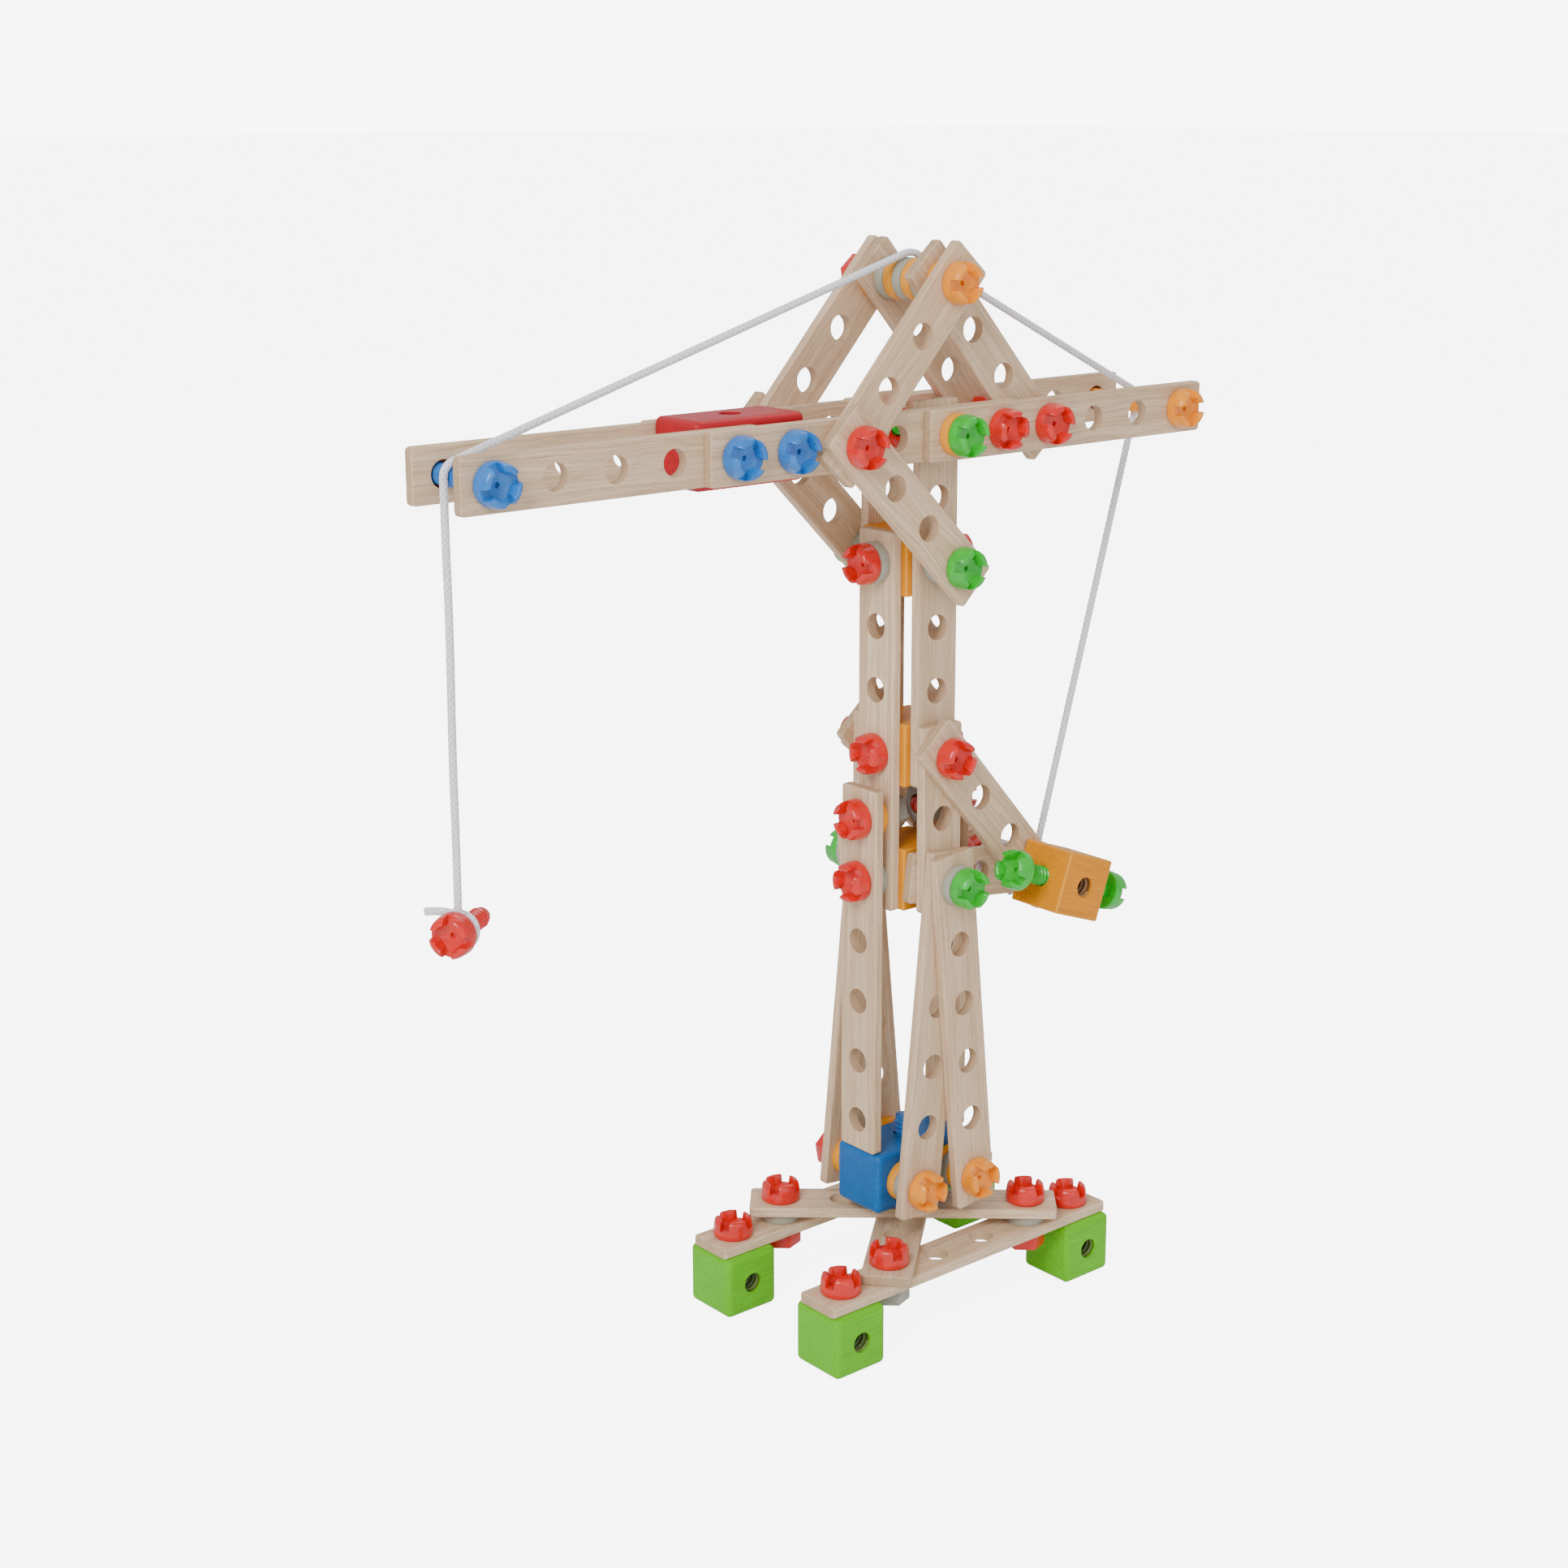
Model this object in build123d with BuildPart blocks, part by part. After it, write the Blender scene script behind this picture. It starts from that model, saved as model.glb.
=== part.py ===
import math
import os
from build123d import *

os.makedirs("parts", exist_ok=True)

# Construction-kit grid, millimetres
pitch = 30.0
strip_width = 24.0
layer = 5.0
strip_corner = 2.0
strip_edge = 0.8
hole_radius = 6.0

# Blocks are one pitch thick, with threaded holes
block = pitch
thread_hole_radius = 4.9
block_edge = 1.0
long_block_edge = 3.0
foot_edge = 3.0

# Castle-head screws, hexagon nuts and spacer washers
screw_radius = 4.75
screw_tip = 1.0
head_radius = 9.6
head_height = 9.5
head_slot = 4.2
head_slot_depth = 4.8
head_dish_radius = 4.4
head_pin_radius = 1.1
nut_flats = 17.4
nut_height = 8.0
nut_bore_radius = 4.9
washer_radius = 9.75
washer_bore_radius = 5.2
block_grip = 9.5
screw_end_show = 1.0

# Running gaps between pieces that move on each other
turn_gap = 0.3
winch_gap = 0.5
spool_gap = 0.3
cord_gap = 0.3
winding_gap = 0.8

# Cord
cord_diameter = 3.5
cord_radius = cord_diameter / 2
winding_radius = 10.8
fall_length = 180.0
knot_tail = 16.0
knot_gap = 0.1

# Winch block turned on its axle in the rest pose
winch_turn_deg = 20.0

# Layer of the grey ring at the slew block on the near and far sides, amber takes the other
grey_ring_layer = {-1: 1, 1: 0}
grip_show = 15.0

# Derived grid positions. Tower axis is x = axis_x, jib hole line is z = jib_z.
jib_holes_front = 8
jib_holes_rear = 5
axis_x = (jib_holes_front - jib_holes_rear) * pitch / 2
axis_y = 0.0
deck_z = pitch + 3 * layer
block_low_z = deck_z + layer
jib_z = block_low_z + block / 2 + 12 * pitch

apex_rise = math.sqrt((3 * pitch) ** 2 - (2 * pitch) ** 2)
leg_lean = math.asin(0.5 / 5)
winch_gap_z = 2 * pitch
winch_drop = ((3 * pitch) ** 2 - (2 * pitch) ** 2 + winch_gap_z**2) / (2 * winch_gap_z)
winch_x = math.sqrt((3 * pitch) ** 2 - winch_drop**2)
winch_z = -5 * pitch - winch_drop
rail_half = math.sqrt((4 * pitch) ** 2 - (3 * pitch) ** 2) / 2
cross_lean = math.atan2(2 * rail_half, 3 * pitch)
foot_x = 2.5 * pitch
screw_line = 1.5 * pitch


def at(x, y, z):
    return Vector(axis_x + x, axis_y + y, jib_z + z)


def face_y(count):
    return block / 2 + count * layer


def strip(start, along, outward, holes, span=None):
    # One perforated board: first hole at start, running along, growing outward
    step = pitch if span is None else span / (holes - 1)
    with BuildSketch(Plane(origin=start, x_dir=along, z_dir=outward)) as outline:
        with Locations(((holes - 1) * step / 2, 0)):
            RectangleRounded((holes - 1) * step + pitch, strip_width, strip_corner)
    extrude(outline.sketch, amount=layer)
    rims = edges(Select.LAST).filter_by(lambda e: abs((e @ 1 - e @ 0).dot(outward)) < 0.001)
    fillet(rims, strip_edge)
    with BuildSketch(Plane(origin=start - outward, x_dir=along, z_dir=outward)) as holes_row:
        for index in range(holes):
            with Locations((index * step, 0)):
                Circle(hole_radius)
    extrude(holes_row.sketch, amount=layer + 2, mode=Mode.SUBTRACT)


def screw(base, outward, length):
    # Head sits on base and points outward, shaft runs the other way
    with BuildSketch(Plane(origin=base, z_dir=outward)) as profile:
        Circle(head_radius)
    extrude(profile.sketch, amount=head_height)
    dish = base + outward * (head_height - head_slot_depth)
    with BuildSketch(Plane(origin=dish, z_dir=outward)) as profile:
        Circle(head_dish_radius)
        Rectangle(2 * head_radius + 1, head_slot)
        Rectangle(head_slot, 2 * head_radius + 1)
    extrude(profile.sketch, amount=head_slot_depth + 1, mode=Mode.SUBTRACT)
    with BuildSketch(Plane(origin=base + outward * (head_height / 2), z_dir=outward)) as profile:
        Circle(head_pin_radius)
    extrude(profile.sketch, amount=head_height, mode=Mode.SUBTRACT)
    with BuildSketch(Plane(origin=base, z_dir=-outward)) as profile:
        Circle(screw_radius)
    extrude(profile.sketch, amount=length - screw_tip)
    with BuildSketch(Plane(origin=base - outward * (length - screw_tip), z_dir=-outward)) as profile:
        Circle(screw_radius)
    extrude(profile.sketch, amount=screw_tip, taper=35)


def washer(base, outward, thickness=layer, bore=washer_bore_radius):
    with BuildSketch(Plane(origin=base, z_dir=outward)) as profile:
        Circle(washer_radius)
        Circle(bore, mode=Mode.SUBTRACT)
    extrude(profile.sketch, amount=thickness)


def hex_nut(base, outward, turn=0.0):
    with BuildSketch(Plane(origin=base, z_dir=outward)) as profile:
        RegularPolygon(nut_flats / 2, 6, major_radius=False, rotation=turn)
        Circle(nut_bore_radius, mode=Mode.SUBTRACT)
    extrude(profile.sketch, amount=nut_height)


def block_at(centre, length, edge):
    with Locations(centre):
        Box(length, block, block)
    fillet(edges(), edge)


def drill(point, direction, radius, depth):
    with BuildSketch(Plane(origin=point, z_dir=direction)) as profile:
        Circle(radius)
    extrude(profile.sketch, amount=depth / 2, both=True, mode=Mode.SUBTRACT)


def round_corner(corner, before, after, radius):
    # Ends and middle of the arc that rounds one corner of a route, and its turn
    into = (corner - before).normalized()
    out = (after - corner).normalized()
    half = math.acos(max(-1.0, min(1.0, into.dot(out)))) / 2
    trim = radius * math.tan(half)
    sag = radius / math.cos(half) - radius
    middle = corner + (out - into).normalized() * sag
    return corner - into * trim, middle, corner + out * trim, 2 * half


def cord_straight(first, final):
    with BuildSketch(Plane(origin=first, z_dir=final - first)) as profile:
        Circle(cord_radius)
    extrude(profile.sketch, amount=(final - first).length)


x_axis = Vector(1, 0, 0)
y_axis = Vector(0, 1, 0)
z_axis = Vector(0, 0, 1)
sides = ((-1, "near"), (1, "far"))
ends = ((-1, "tip"), (1, "rear"))

# ---------------------------------------------------------------- base
floor = Vector(axis_x, axis_y, 0)

for end, end_name in ends:
    for side, side_name in sides:
        with BuildPart() as foot:
            centre = floor + Vector(end * foot_x, side * rail_half, block / 2)
            block_at(centre, block, foot_edge)
            drill(centre, y_axis, thread_hole_radius, 2 * block)
            drill(centre, z_axis, thread_hole_radius, 2 * block)
        foot.part.label = "foot_" + end_name + "_" + side_name
        export_step(foot.part, "parts/foot_" + end_name + "_" + side_name + ".step")

for side, side_name in sides:
    with BuildPart() as rail:
        strip(floor + Vector(-foot_x, side * rail_half, block), x_axis, z_axis, 6)
    rail.part.label = "rail_" + side_name
    export_step(rail.part, "parts/rail_" + side_name + ".step")

cross_low_dir = Vector(math.cos(cross_lean), math.sin(cross_lean), 0)
cross_high_dir = Vector(math.cos(cross_lean), -math.sin(cross_lean), 0)

with BuildPart() as cross_lower:
    start = floor + Vector(0, 0, block + layer) - cross_low_dir * (2 * pitch)
    strip(start, cross_low_dir, z_axis, 5)
cross_lower.part.label = "cross_lower"
export_step(cross_lower.part, "parts/cross_lower.step")

with BuildPart() as cross_upper:
    start = floor + Vector(0, 0, block + 2 * layer) - cross_high_dir * (2 * pitch)
    strip(start, cross_high_dir, z_axis, 5)
cross_upper.part.label = "cross_upper"
export_step(cross_upper.part, "parts/cross_upper.step")

with BuildPart() as base_screws:
    for end, end_name in ends:
        for side, side_name in sides:
            top = floor + Vector(end * foot_x, side * rail_half, block + layer)
            screw(top, z_axis, layer + block_grip)
            upper = end * side < 0
            stack = 3 * layer if upper else 2 * layer
            top = floor + Vector(end * screw_line, side * rail_half, block + stack)
            screw(top, z_axis, stack + nut_height + screw_end_show)
base_screws.part.label = "base_screws"
export_step(base_screws.part, "parts/base_screws.step")

with BuildPart() as base_nuts:
    for end, end_name in ends:
        for side, side_name in sides:
            hex_nut(floor + Vector(end * screw_line, side * rail_half, block), -z_axis, 12.0)
base_nuts.part.label = "base_nuts"
export_step(base_nuts.part, "parts/base_nuts.step")

with BuildPart() as base_washers:
    washer(floor + Vector(-screw_line, rail_half, block + layer), z_axis)
    washer(floor + Vector(screw_line, -rail_half, block + layer), z_axis)
base_washers.part.label = "base_washers"
export_step(base_washers.part, "parts/base_washers.step")

with BuildPart() as slew_washer:
    washer(floor + Vector(0, 0, deck_z), z_axis, layer - turn_gap)
slew_washer.part.label = "slew_washer"
export_step(slew_washer.part, "parts/slew_washer.step")

# ---------------------------------------------------------------- turning tower
with BuildPart() as turret_block:
    centre = at(0, 0, -12 * pitch)
    block_at(centre, 2 * block, long_block_edge)
    for offset in (-pitch / 2, pitch / 2):
        drill(centre + Vector(offset, 0, 0), y_axis, thread_hole_radius, 2 * block)
    drill(centre, z_axis, thread_hole_radius, 2 * block)
turret_block.part.label = "turret_block"
export_step(turret_block.part, "parts/turret_block.step")

slew_head_z = block + layer - turn_gap
with BuildPart() as slew_screw:
    base = floor + Vector(0, 0, slew_head_z)
    screw(base, -z_axis, block_low_z + block + 2 * layer - slew_head_z)
slew_screw.part.label = "slew_screw"
export_step(slew_screw.part, "parts/slew_screw.step")

with BuildPart() as post_blocks:
    for level in (-2, -5, -7):
        with Locations(at(0, 0, level * pitch)):
            Box(block, block, block)
    fillet(edges(), block_edge)
    for level in (-2, -5, -7):
        drill(at(0, 0, level * pitch), x_axis, thread_hole_radius, 2 * block)
        drill(at(0, 0, level * pitch), y_axis, thread_hole_radius, 2 * block)
post_blocks.part.label = "post_blocks"
export_step(post_blocks.part, "parts/post_blocks.step")

for side, side_name in sides:
    with BuildPart() as post:
        strip(at(0, side * face_y(0), 0), -z_axis, y_axis * side, 6)
    post.part.label = "post_" + side_name
    export_step(post.part, "parts/post_" + side_name + ".step")

for end, end_name in ends:
    with BuildPart() as post:
        strip(at(end * face_y(0), 0, -2 * pitch), -z_axis, x_axis * end, 6)
    post.part.label = "post_" + end_name
    export_step(post.part, "parts/post_" + end_name + ".step")

with BuildPart() as splice_strips:
    for side, side_name in sides:
        strip(at(0, side * face_y(1), -5 * pitch), -z_axis, y_axis * side, 3)
splice_strips.part.label = "splice_strips"
export_step(splice_strips.part, "parts/splice_strips.step")

for end, end_name in ends:
    with BuildPart() as leg:
        strip(at(end * face_y(2), 0, -6 * pitch), -z_axis, x_axis * end, 6)
    leg.part.label = "leg_" + end_name
    export_step(leg.part, "parts/leg_" + end_name + ".step")

for side, side_name in sides:
    for end, end_name, count in ((-1, "tip", 2), (1, "rear", 3)):
        lean_dir = Vector(end * math.sin(leg_lean), 0, -math.cos(leg_lean))
        with BuildPart() as leg:
            strip(at(0, side * face_y(count), -7 * pitch), lean_dir, y_axis * side, 6)
        leg.part.label = "leg_" + side_name + "_" + end_name
        export_step(leg.part, "parts/leg_" + side_name + "_" + end_name + ".step")

arm_dir = Vector(winch_x, 0, -winch_drop) / (3 * pitch)
prop_dir = Vector(winch_x, 0, winch_gap_z - winch_drop) / (2 * pitch)
for side, side_name in sides:
    with BuildPart() as arm:
        strip(at(0, side * face_y(2), -5 * pitch), arm_dir, y_axis * side, 4)
    arm.part.label = "winch_arm_" + side_name
    export_step(arm.part, "parts/winch_arm_" + side_name + ".step")
    with BuildPart() as prop:
        strip(at(0, side * face_y(0), -7 * pitch), prop_dir, y_axis * side, 3)
    prop.part.label = "winch_prop_" + side_name
    export_step(prop.part, "parts/winch_prop_" + side_name + ".step")

# Jib: three overlapping boards a side
for side, side_name in sides:
    for name, count, first, holes in (("tip", 0, -8, 5), ("middle", 1, -4, 6), ("rear", 2, 0, 6)):
        with BuildPart() as board:
            strip(at(first * pitch, side * face_y(count), 0), x_axis, y_axis * side, holes)
        board.part.label = "jib_" + name + "_" + side_name
        export_step(board.part, "parts/jib_" + name + "_" + side_name + ".step")

with BuildPart() as jib_block:
    centre = at(-3.5 * pitch, 0, 0)
    block_at(centre, 2 * block, long_block_edge)
    for offset in (-pitch / 2, pitch / 2):
        drill(centre + Vector(offset, 0, 0), y_axis, thread_hole_radius, 2 * block)
    drill(centre, z_axis, thread_hole_radius, 2 * block)
jib_block.part.label = "jib_block"
export_step(jib_block.part, "parts/jib_block.step")

# Apex triangle and brace
mast_front_dir = Vector(2 * pitch, 0, apex_rise) / (3 * pitch)
mast_rear_dir = Vector(-2 * pitch, 0, apex_rise) / (3 * pitch)
for side, side_name in sides:
    with BuildPart() as mast:
        strip(at(-2 * pitch, side * face_y(2), 0), mast_front_dir, y_axis * side, 4)
    mast.part.label = "mast_front_" + side_name
    export_step(mast.part, "parts/mast_front_" + side_name + ".step")
    with BuildPart() as mast:
        strip(at(2 * pitch, side * face_y(0), 0), mast_rear_dir, y_axis * side, 4)
    mast.part.label = "mast_rear_" + side_name
    export_step(mast.part, "parts/mast_rear_" + side_name + ".step")

brace_span = 2 * pitch * math.sqrt(2)
brace_dir = Vector(1, 0, -1).normalized()
with BuildPart() as braces:
    for side, side_name in sides:
        strip(at(-2 * pitch, side * face_y(3), 0), brace_dir, y_axis * side, 4, brace_span)
braces.part.label = "braces"
export_step(braces.part, "parts/braces.step")

nutted = nut_height + screw_end_show

with BuildPart() as red_screws:
    for side, side_name in sides:
        out = y_axis * side
        screw(at(-2 * pitch, side * face_y(4), 0), out, 4 * layer - layer + nutted)
        screw(at(pitch, side * face_y(3), 0), out, 2 * layer + nutted)
        screw(at(2 * pitch, side * face_y(3), 0), out, 3 * layer + nutted)
        screw(at(0, side * face_y(3), -5 * pitch), out, 3 * layer + block_grip)
    for end, end_name in ends:
        out = x_axis * end
        screw(at(end * face_y(2), 0, -2 * pitch), out, 2 * layer + block_grip)
        screw(at(end * face_y(1), 0, -5 * pitch), out, layer + block_grip)
        screw(at(end * face_y(3), 0, -6 * pitch), out, 3 * layer + nutted)
        screw(at(end * face_y(3), 0, -7 * pitch), out, 3 * layer + block_grip)
red_screws.part.label = "red_screws"
export_step(red_screws.part, "parts/red_screws.step")

with BuildPart() as green_screws:
    for side, side_name in sides:
        out = y_axis * side
        screw(at(0, side * face_y(4), 0), out, 4 * layer + nutted)
        screw(at(0, side * face_y(4), -2 * pitch), out, 4 * layer + block_grip)
        screw(at(0, side * face_y(5), -7 * pitch), out, 5 * layer + block_grip)
green_screws.part.label = "green_screws"
export_step(green_screws.part, "parts/green_screws.step")

blue_spots = ((-8, 1), (-4, 2), (-3, 2))
with BuildPart() as blue_screws:
    for index, count in blue_spots:
        reach = 2 * face_y(count) + nutted
        screw(at(index * pitch, -face_y(count), 0), -y_axis, reach)
blue_screws.part.label = "blue_screws"
export_step(blue_screws.part, "parts/blue_screws.step")

amber_spots = (
    (0, apex_rise, 3),
    (5 * pitch, 0, 3),
    (-pitch / 2, -12 * pitch, 3),
    (pitch / 2, -12 * pitch, 4),
)
with BuildPart() as amber_screws:
    for spot_x, spot_z, count in amber_spots:
        reach = 2 * face_y(count) + nutted
        screw(at(spot_x, -face_y(count), spot_z), -y_axis, reach)
amber_screws.part.label = "amber_screws"
export_step(amber_screws.part, "parts/amber_screws.step")

with BuildPart() as red_nuts:
    for index, count in blue_spots:
        hex_nut(at(index * pitch, face_y(count), 0), y_axis, 8.0)
    for spot_x, spot_z, count in amber_spots:
        hex_nut(at(spot_x, face_y(count), spot_z), y_axis, 20.0)
    for side, side_name in sides:
        hex_nut(at(-2 * pitch, side * face_y(1), 0), -y_axis * side, 5.0)
        hex_nut(at(0, side * face_y(0), 0), -y_axis * side, 25.0)
        hex_nut(at(pitch, side * face_y(1), 0), -y_axis * side, 15.0)
        hex_nut(at(2 * pitch, side * face_y(0), 0), -y_axis * side, 0.0)
red_nuts.part.label = "red_nuts"
export_step(red_nuts.part, "parts/red_nuts.step")

with BuildPart() as grey_nuts:
    for end, end_name in ends:
        hex_nut(at(end * face_y(0), 0, -6 * pitch), -x_axis * end, 10.0)
grey_nuts.part.label = "grey_nuts"
export_step(grey_nuts.part, "parts/grey_nuts.step")

with BuildPart() as grey_washers:
    for side, side_name in sides:
        out = y_axis * side
        washer(at(-3 * pitch, side * face_y(0), 0), out)
        washer(at(0, side * face_y(1), -2 * pitch), out)
        washer(at(0, side * face_y(2), -2 * pitch), out)
        washer(at(0, side * face_y(4), -7 * pitch), out)
        washer(at(winch_x, side * face_y(1), winch_z), out)
        washer(at(-pitch / 2, side * face_y(grey_ring_layer[side]), -12 * pitch), out)
        washer(at(pitch / 2, side * face_y(grey_ring_layer[side]), -12 * pitch), out)
    for end, end_name in ends:
        out = x_axis * end
        washer(at(end * face_y(1), 0, -2 * pitch), out)
        washer(at(end * face_y(1), 0, -7 * pitch), out)
grey_washers.part.label = "grey_washers"
export_step(grey_washers.part, "parts/grey_washers.step")

with BuildPart() as amber_washers:
    for side, side_name in sides:
        out = y_axis * side
        washer(at(0, side * face_y(3), 0), out)
        washer(at(0, side * face_y(1), apex_rise), out)
        washer(at(2 * pitch, side * face_y(1), 0), out)
        washer(at(-pitch / 2, side * face_y(1 - grey_ring_layer[side]), -12 * pitch), out)
        washer(at(pitch / 2, side * face_y(1 - grey_ring_layer[side]), -12 * pitch), out)
        washer(at(pitch / 2, side * face_y(2), -12 * pitch), out)
    for end, end_name in ends:
        washer(at(end * face_y(1), 0, -6 * pitch), x_axis * end)
amber_washers.part.label = "amber_washers"
export_step(amber_washers.part, "parts/amber_washers.step")

# ---------------------------------------------------------------- spool under the cord
with BuildPart() as spool_washers:
    ring = (block - 6 * spool_gap) / 5
    for index in range(5):
        ring_y = -block / 2 + spool_gap + index * (ring + spool_gap)
        washer(at(0, ring_y, apex_rise), y_axis, ring)
spool_washers.part.label = "spool_washers"
export_step(spool_washers.part, "parts/spool_washers.step")

# ---------------------------------------------------------------- winch
axle_head_y = face_y(3) + winch_gap
winch_block_y = -(face_y(3) + winch_gap + block / 2)
with BuildPart() as winch_axle:
    screw(at(winch_x, axle_head_y, winch_z), y_axis, axle_head_y - winch_block_y + block / 6)
winch_axle.part.label = "winch_axle"
export_step(winch_axle.part, "parts/winch_axle.step")

crank = math.radians(winch_turn_deg)
grip_dir = Vector(math.cos(crank), 0, -math.sin(crank))
with BuildPart() as winch_block:
    centre = at(winch_x, winch_block_y, winch_z)
    with BuildSketch(Plane(origin=centre, x_dir=grip_dir, z_dir=y_axis)) as profile:
        Rectangle(block, block)
    extrude(profile.sketch, amount=block / 2, both=True)
    fillet(edges(), block_edge)
    drill(centre, y_axis, thread_hole_radius, 2 * block)
    drill(centre, grip_dir, thread_hole_radius, 2 * block)
winch_block.part.label = "winch_block"
export_step(winch_block.part, "parts/winch_block.step")

with BuildPart() as winch_grips:
    for way in (-1, 1):
        out = grip_dir * way
        base = at(winch_x, winch_block_y, winch_z) + out * (block / 2 + grip_show)
        screw(base, out, grip_show + block_grip)
winch_grips.part.label = "winch_grips"
export_step(winch_grips.part, "parts/winch_grips.step")

with BuildPart() as winch_nut:
    hex_nut(at(winch_x, block / 2 - winch_gap, winch_z), -y_axis, 15.0)
winch_nut.part.label = "winch_nut"
export_step(winch_nut.part, "parts/winch_nut.step")

winding_start = block / 2 - winch_gap - nut_height
with BuildPart() as cord_winding:
    turns = 6
    turn_width = (winding_start + block / 2 - winch_gap) / turns
    for index in range(turns):
        edge = at(winch_x, winding_start - index * turn_width, winch_z)
        with BuildSketch(Plane(origin=edge, z_dir=-y_axis)) as profile:
            Circle(winding_radius)
            Circle(screw_radius + 0.05, mode=Mode.SUBTRACT)
        extrude(profile.sketch, amount=turn_width)
    rims = edges().filter_by(GeomType.CIRCLE).filter_by(lambda e: abs(e.radius - winding_radius) < 0.01)
    chamfer(rims, turn_width / 5)
cord_winding.part.label = "cord_winding"
export_step(cord_winding.part, "parts/cord_winding.step")

# ---------------------------------------------------------------- hoisting cord
# Straight taut runs with an arc the size of each shaft or washer they pass
wrap_spool = washer_radius + cord_radius + cord_gap
wrap_shaft = screw_radius + cord_radius + cord_gap
wrap_winding = winding_radius + cord_radius + winding_gap
cord_y_tip = 4.5
cord_y_spool = 1.0
cord_y_rear = 4.0
cord_y_winch = -block / 2 + winch_gap + cord_radius


def crossing(p1, a1, p2, a2):
    # Where two lines, each a point and a heading, cross
    det = math.cos(a1) * math.sin(a2) - math.sin(a1) * math.cos(a2)
    step = ((p2[0] - p1[0]) * math.sin(a2) - (p2[1] - p1[1]) * math.cos(a2)) / det
    return p1[0] + step * math.cos(a1), p1[1] + step * math.sin(a1)


def beside(x, z, radius, heading):
    # Point of a circle whose tangent has this heading, circle on the right
    return x - radius * math.sin(heading), z + radius * math.cos(heading)


tip_x = -8 * pitch
rear_x = 5 * pitch
run_back = -math.atan2(apex_rise, rear_x) - math.asin(
    (wrap_spool - wrap_shaft) / math.hypot(rear_x, apex_rise)
)
rear_to_winch = math.hypot(rear_x - winch_x, winch_z)
run_down = -math.pi + math.atan2(-winch_z, rear_x - winch_x) - math.asin(
    (wrap_winding - wrap_shaft) / rear_to_winch
)
rise = math.atan2(apex_rise, -tip_x) + math.asin(
    (wrap_spool - wrap_shaft) / math.hypot(tip_x, apex_rise)
)
under = run_down - math.radians(80)
tip_side = (tip_x - wrap_shaft, 0.0)
tip_top = beside(tip_x, 0, wrap_shaft, rise)
spool_top = beside(0, apex_rise, wrap_spool, run_back)
rear_side = beside(rear_x, 0, wrap_shaft, run_down)
winch_side = beside(winch_x, winch_z, wrap_winding, run_down)
corner_tip = crossing(tip_side, math.pi / 2, tip_top, rise)
corner_spool = crossing(tip_top, rise, spool_top, run_back)
corner_rear = crossing(spool_top, run_back, rear_side, run_down)
winch_under = beside(winch_x, winch_z, wrap_winding, under)
corner_winch = crossing(winch_side, run_down, winch_under, under)
route = [
    at(tip_side[0], cord_y_tip, 0),
    at(corner_tip[0], cord_y_tip, corner_tip[1]),
    at(corner_spool[0], cord_y_spool, corner_spool[1]),
    at(corner_rear[0], cord_y_rear, corner_rear[1]),
    at(corner_winch[0], cord_y_winch, corner_winch[1]),
    at(winch_under[0] + math.cos(under), cord_y_winch, winch_under[1] + math.sin(under)),
]
radii = [wrap_shaft, wrap_spool, wrap_shaft, wrap_winding]
run_length = 0
with BuildPart() as cord_run:
    with BuildLine() as cord_path:
        last = route[0]
        for index in range(1, len(route) - 1):
            first, middle, final, turn = round_corner(
                route[index], route[index - 1], route[index + 1], radii[index - 1]
            )
            if (first - last).length > 0.1:
                Line(last, first)
            ThreePointArc(first, middle, final)
            run_length += (first - last).length + radii[index - 1] * turn
            last = final
    with BuildSketch(Plane(origin=route[0], z_dir=z_axis)) as profile:
        Circle(cord_radius)
    sweep(profile.sketch, path=cord_path.wires()[0], is_frenet=False)
cord_run.part.label = "cord_run"
export_step(cord_run.part, "parts/cord_run.step")
print("cord run radii", [round(r, 2) for r in radii], "length", round(run_length, 1))
print("cord run volume", round(cord_run.part.volume, 1))
print("cord run expected", round(math.pi * cord_radius**2 * run_length, 1))
print("cord run route", [tuple(round(c, 2) for c in point) for point in route])

fall_top = at(tip_side[0], cord_y_tip, -knot_gap)
with BuildPart() as cord_fall:
    with BuildSketch(Plane(origin=fall_top, z_dir=-z_axis)) as profile:
        Circle(cord_radius)
    extrude(profile.sketch, amount=fall_length)
cord_fall.part.label = "cord_fall"
export_step(cord_fall.part, "parts/cord_fall.step")

# ---------------------------------------------------------------- load on the cord
load_turn = math.radians(31)
load_dir = Vector(math.cos(load_turn), math.sin(load_turn), 0)
knot_ring = screw_radius + cord_radius + knot_gap
load_z = -fall_length - knot_gap - knot_ring - cord_radius - cord_gap
knot_centre = at(tip_side[0], cord_y_tip, load_z)
load_head = knot_centre - load_dir * (cord_radius + knot_gap)
with BuildPart() as load_screw:
    screw(load_head, -load_dir, 2 * layer + block_grip + 5)
load_screw.part.label = "load_screw"
export_step(load_screw.part, "parts/load_screw.step")

with BuildPart() as cord_knot:
    low = knot_centre - z_axis * knot_ring
    with BuildSketch(Plane(origin=low, x_dir=load_dir, z_dir=z_axis.cross(load_dir))) as profile:
        Circle(cord_radius)
    revolve(profile.sketch, Axis(knot_centre, load_dir), revolution_arc=360)
    tail_start = knot_centre + z_axis * knot_ring
    cord_straight(tail_start, tail_start + z_axis.cross(load_dir) * knot_tail)
cord_knot.part.label = "cord_knot"
export_step(cord_knot.part, "parts/cord_knot.step")

print("jib line", jib_z, "axis x", axis_x, "winch", winch_x, winch_z, "rail", rail_half)
print("fall top", tuple(fall_top), "knot", tuple(knot_centre))
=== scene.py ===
import math
import random
import bpy
import bmesh
from mathutils import Matrix, Vector


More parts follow.
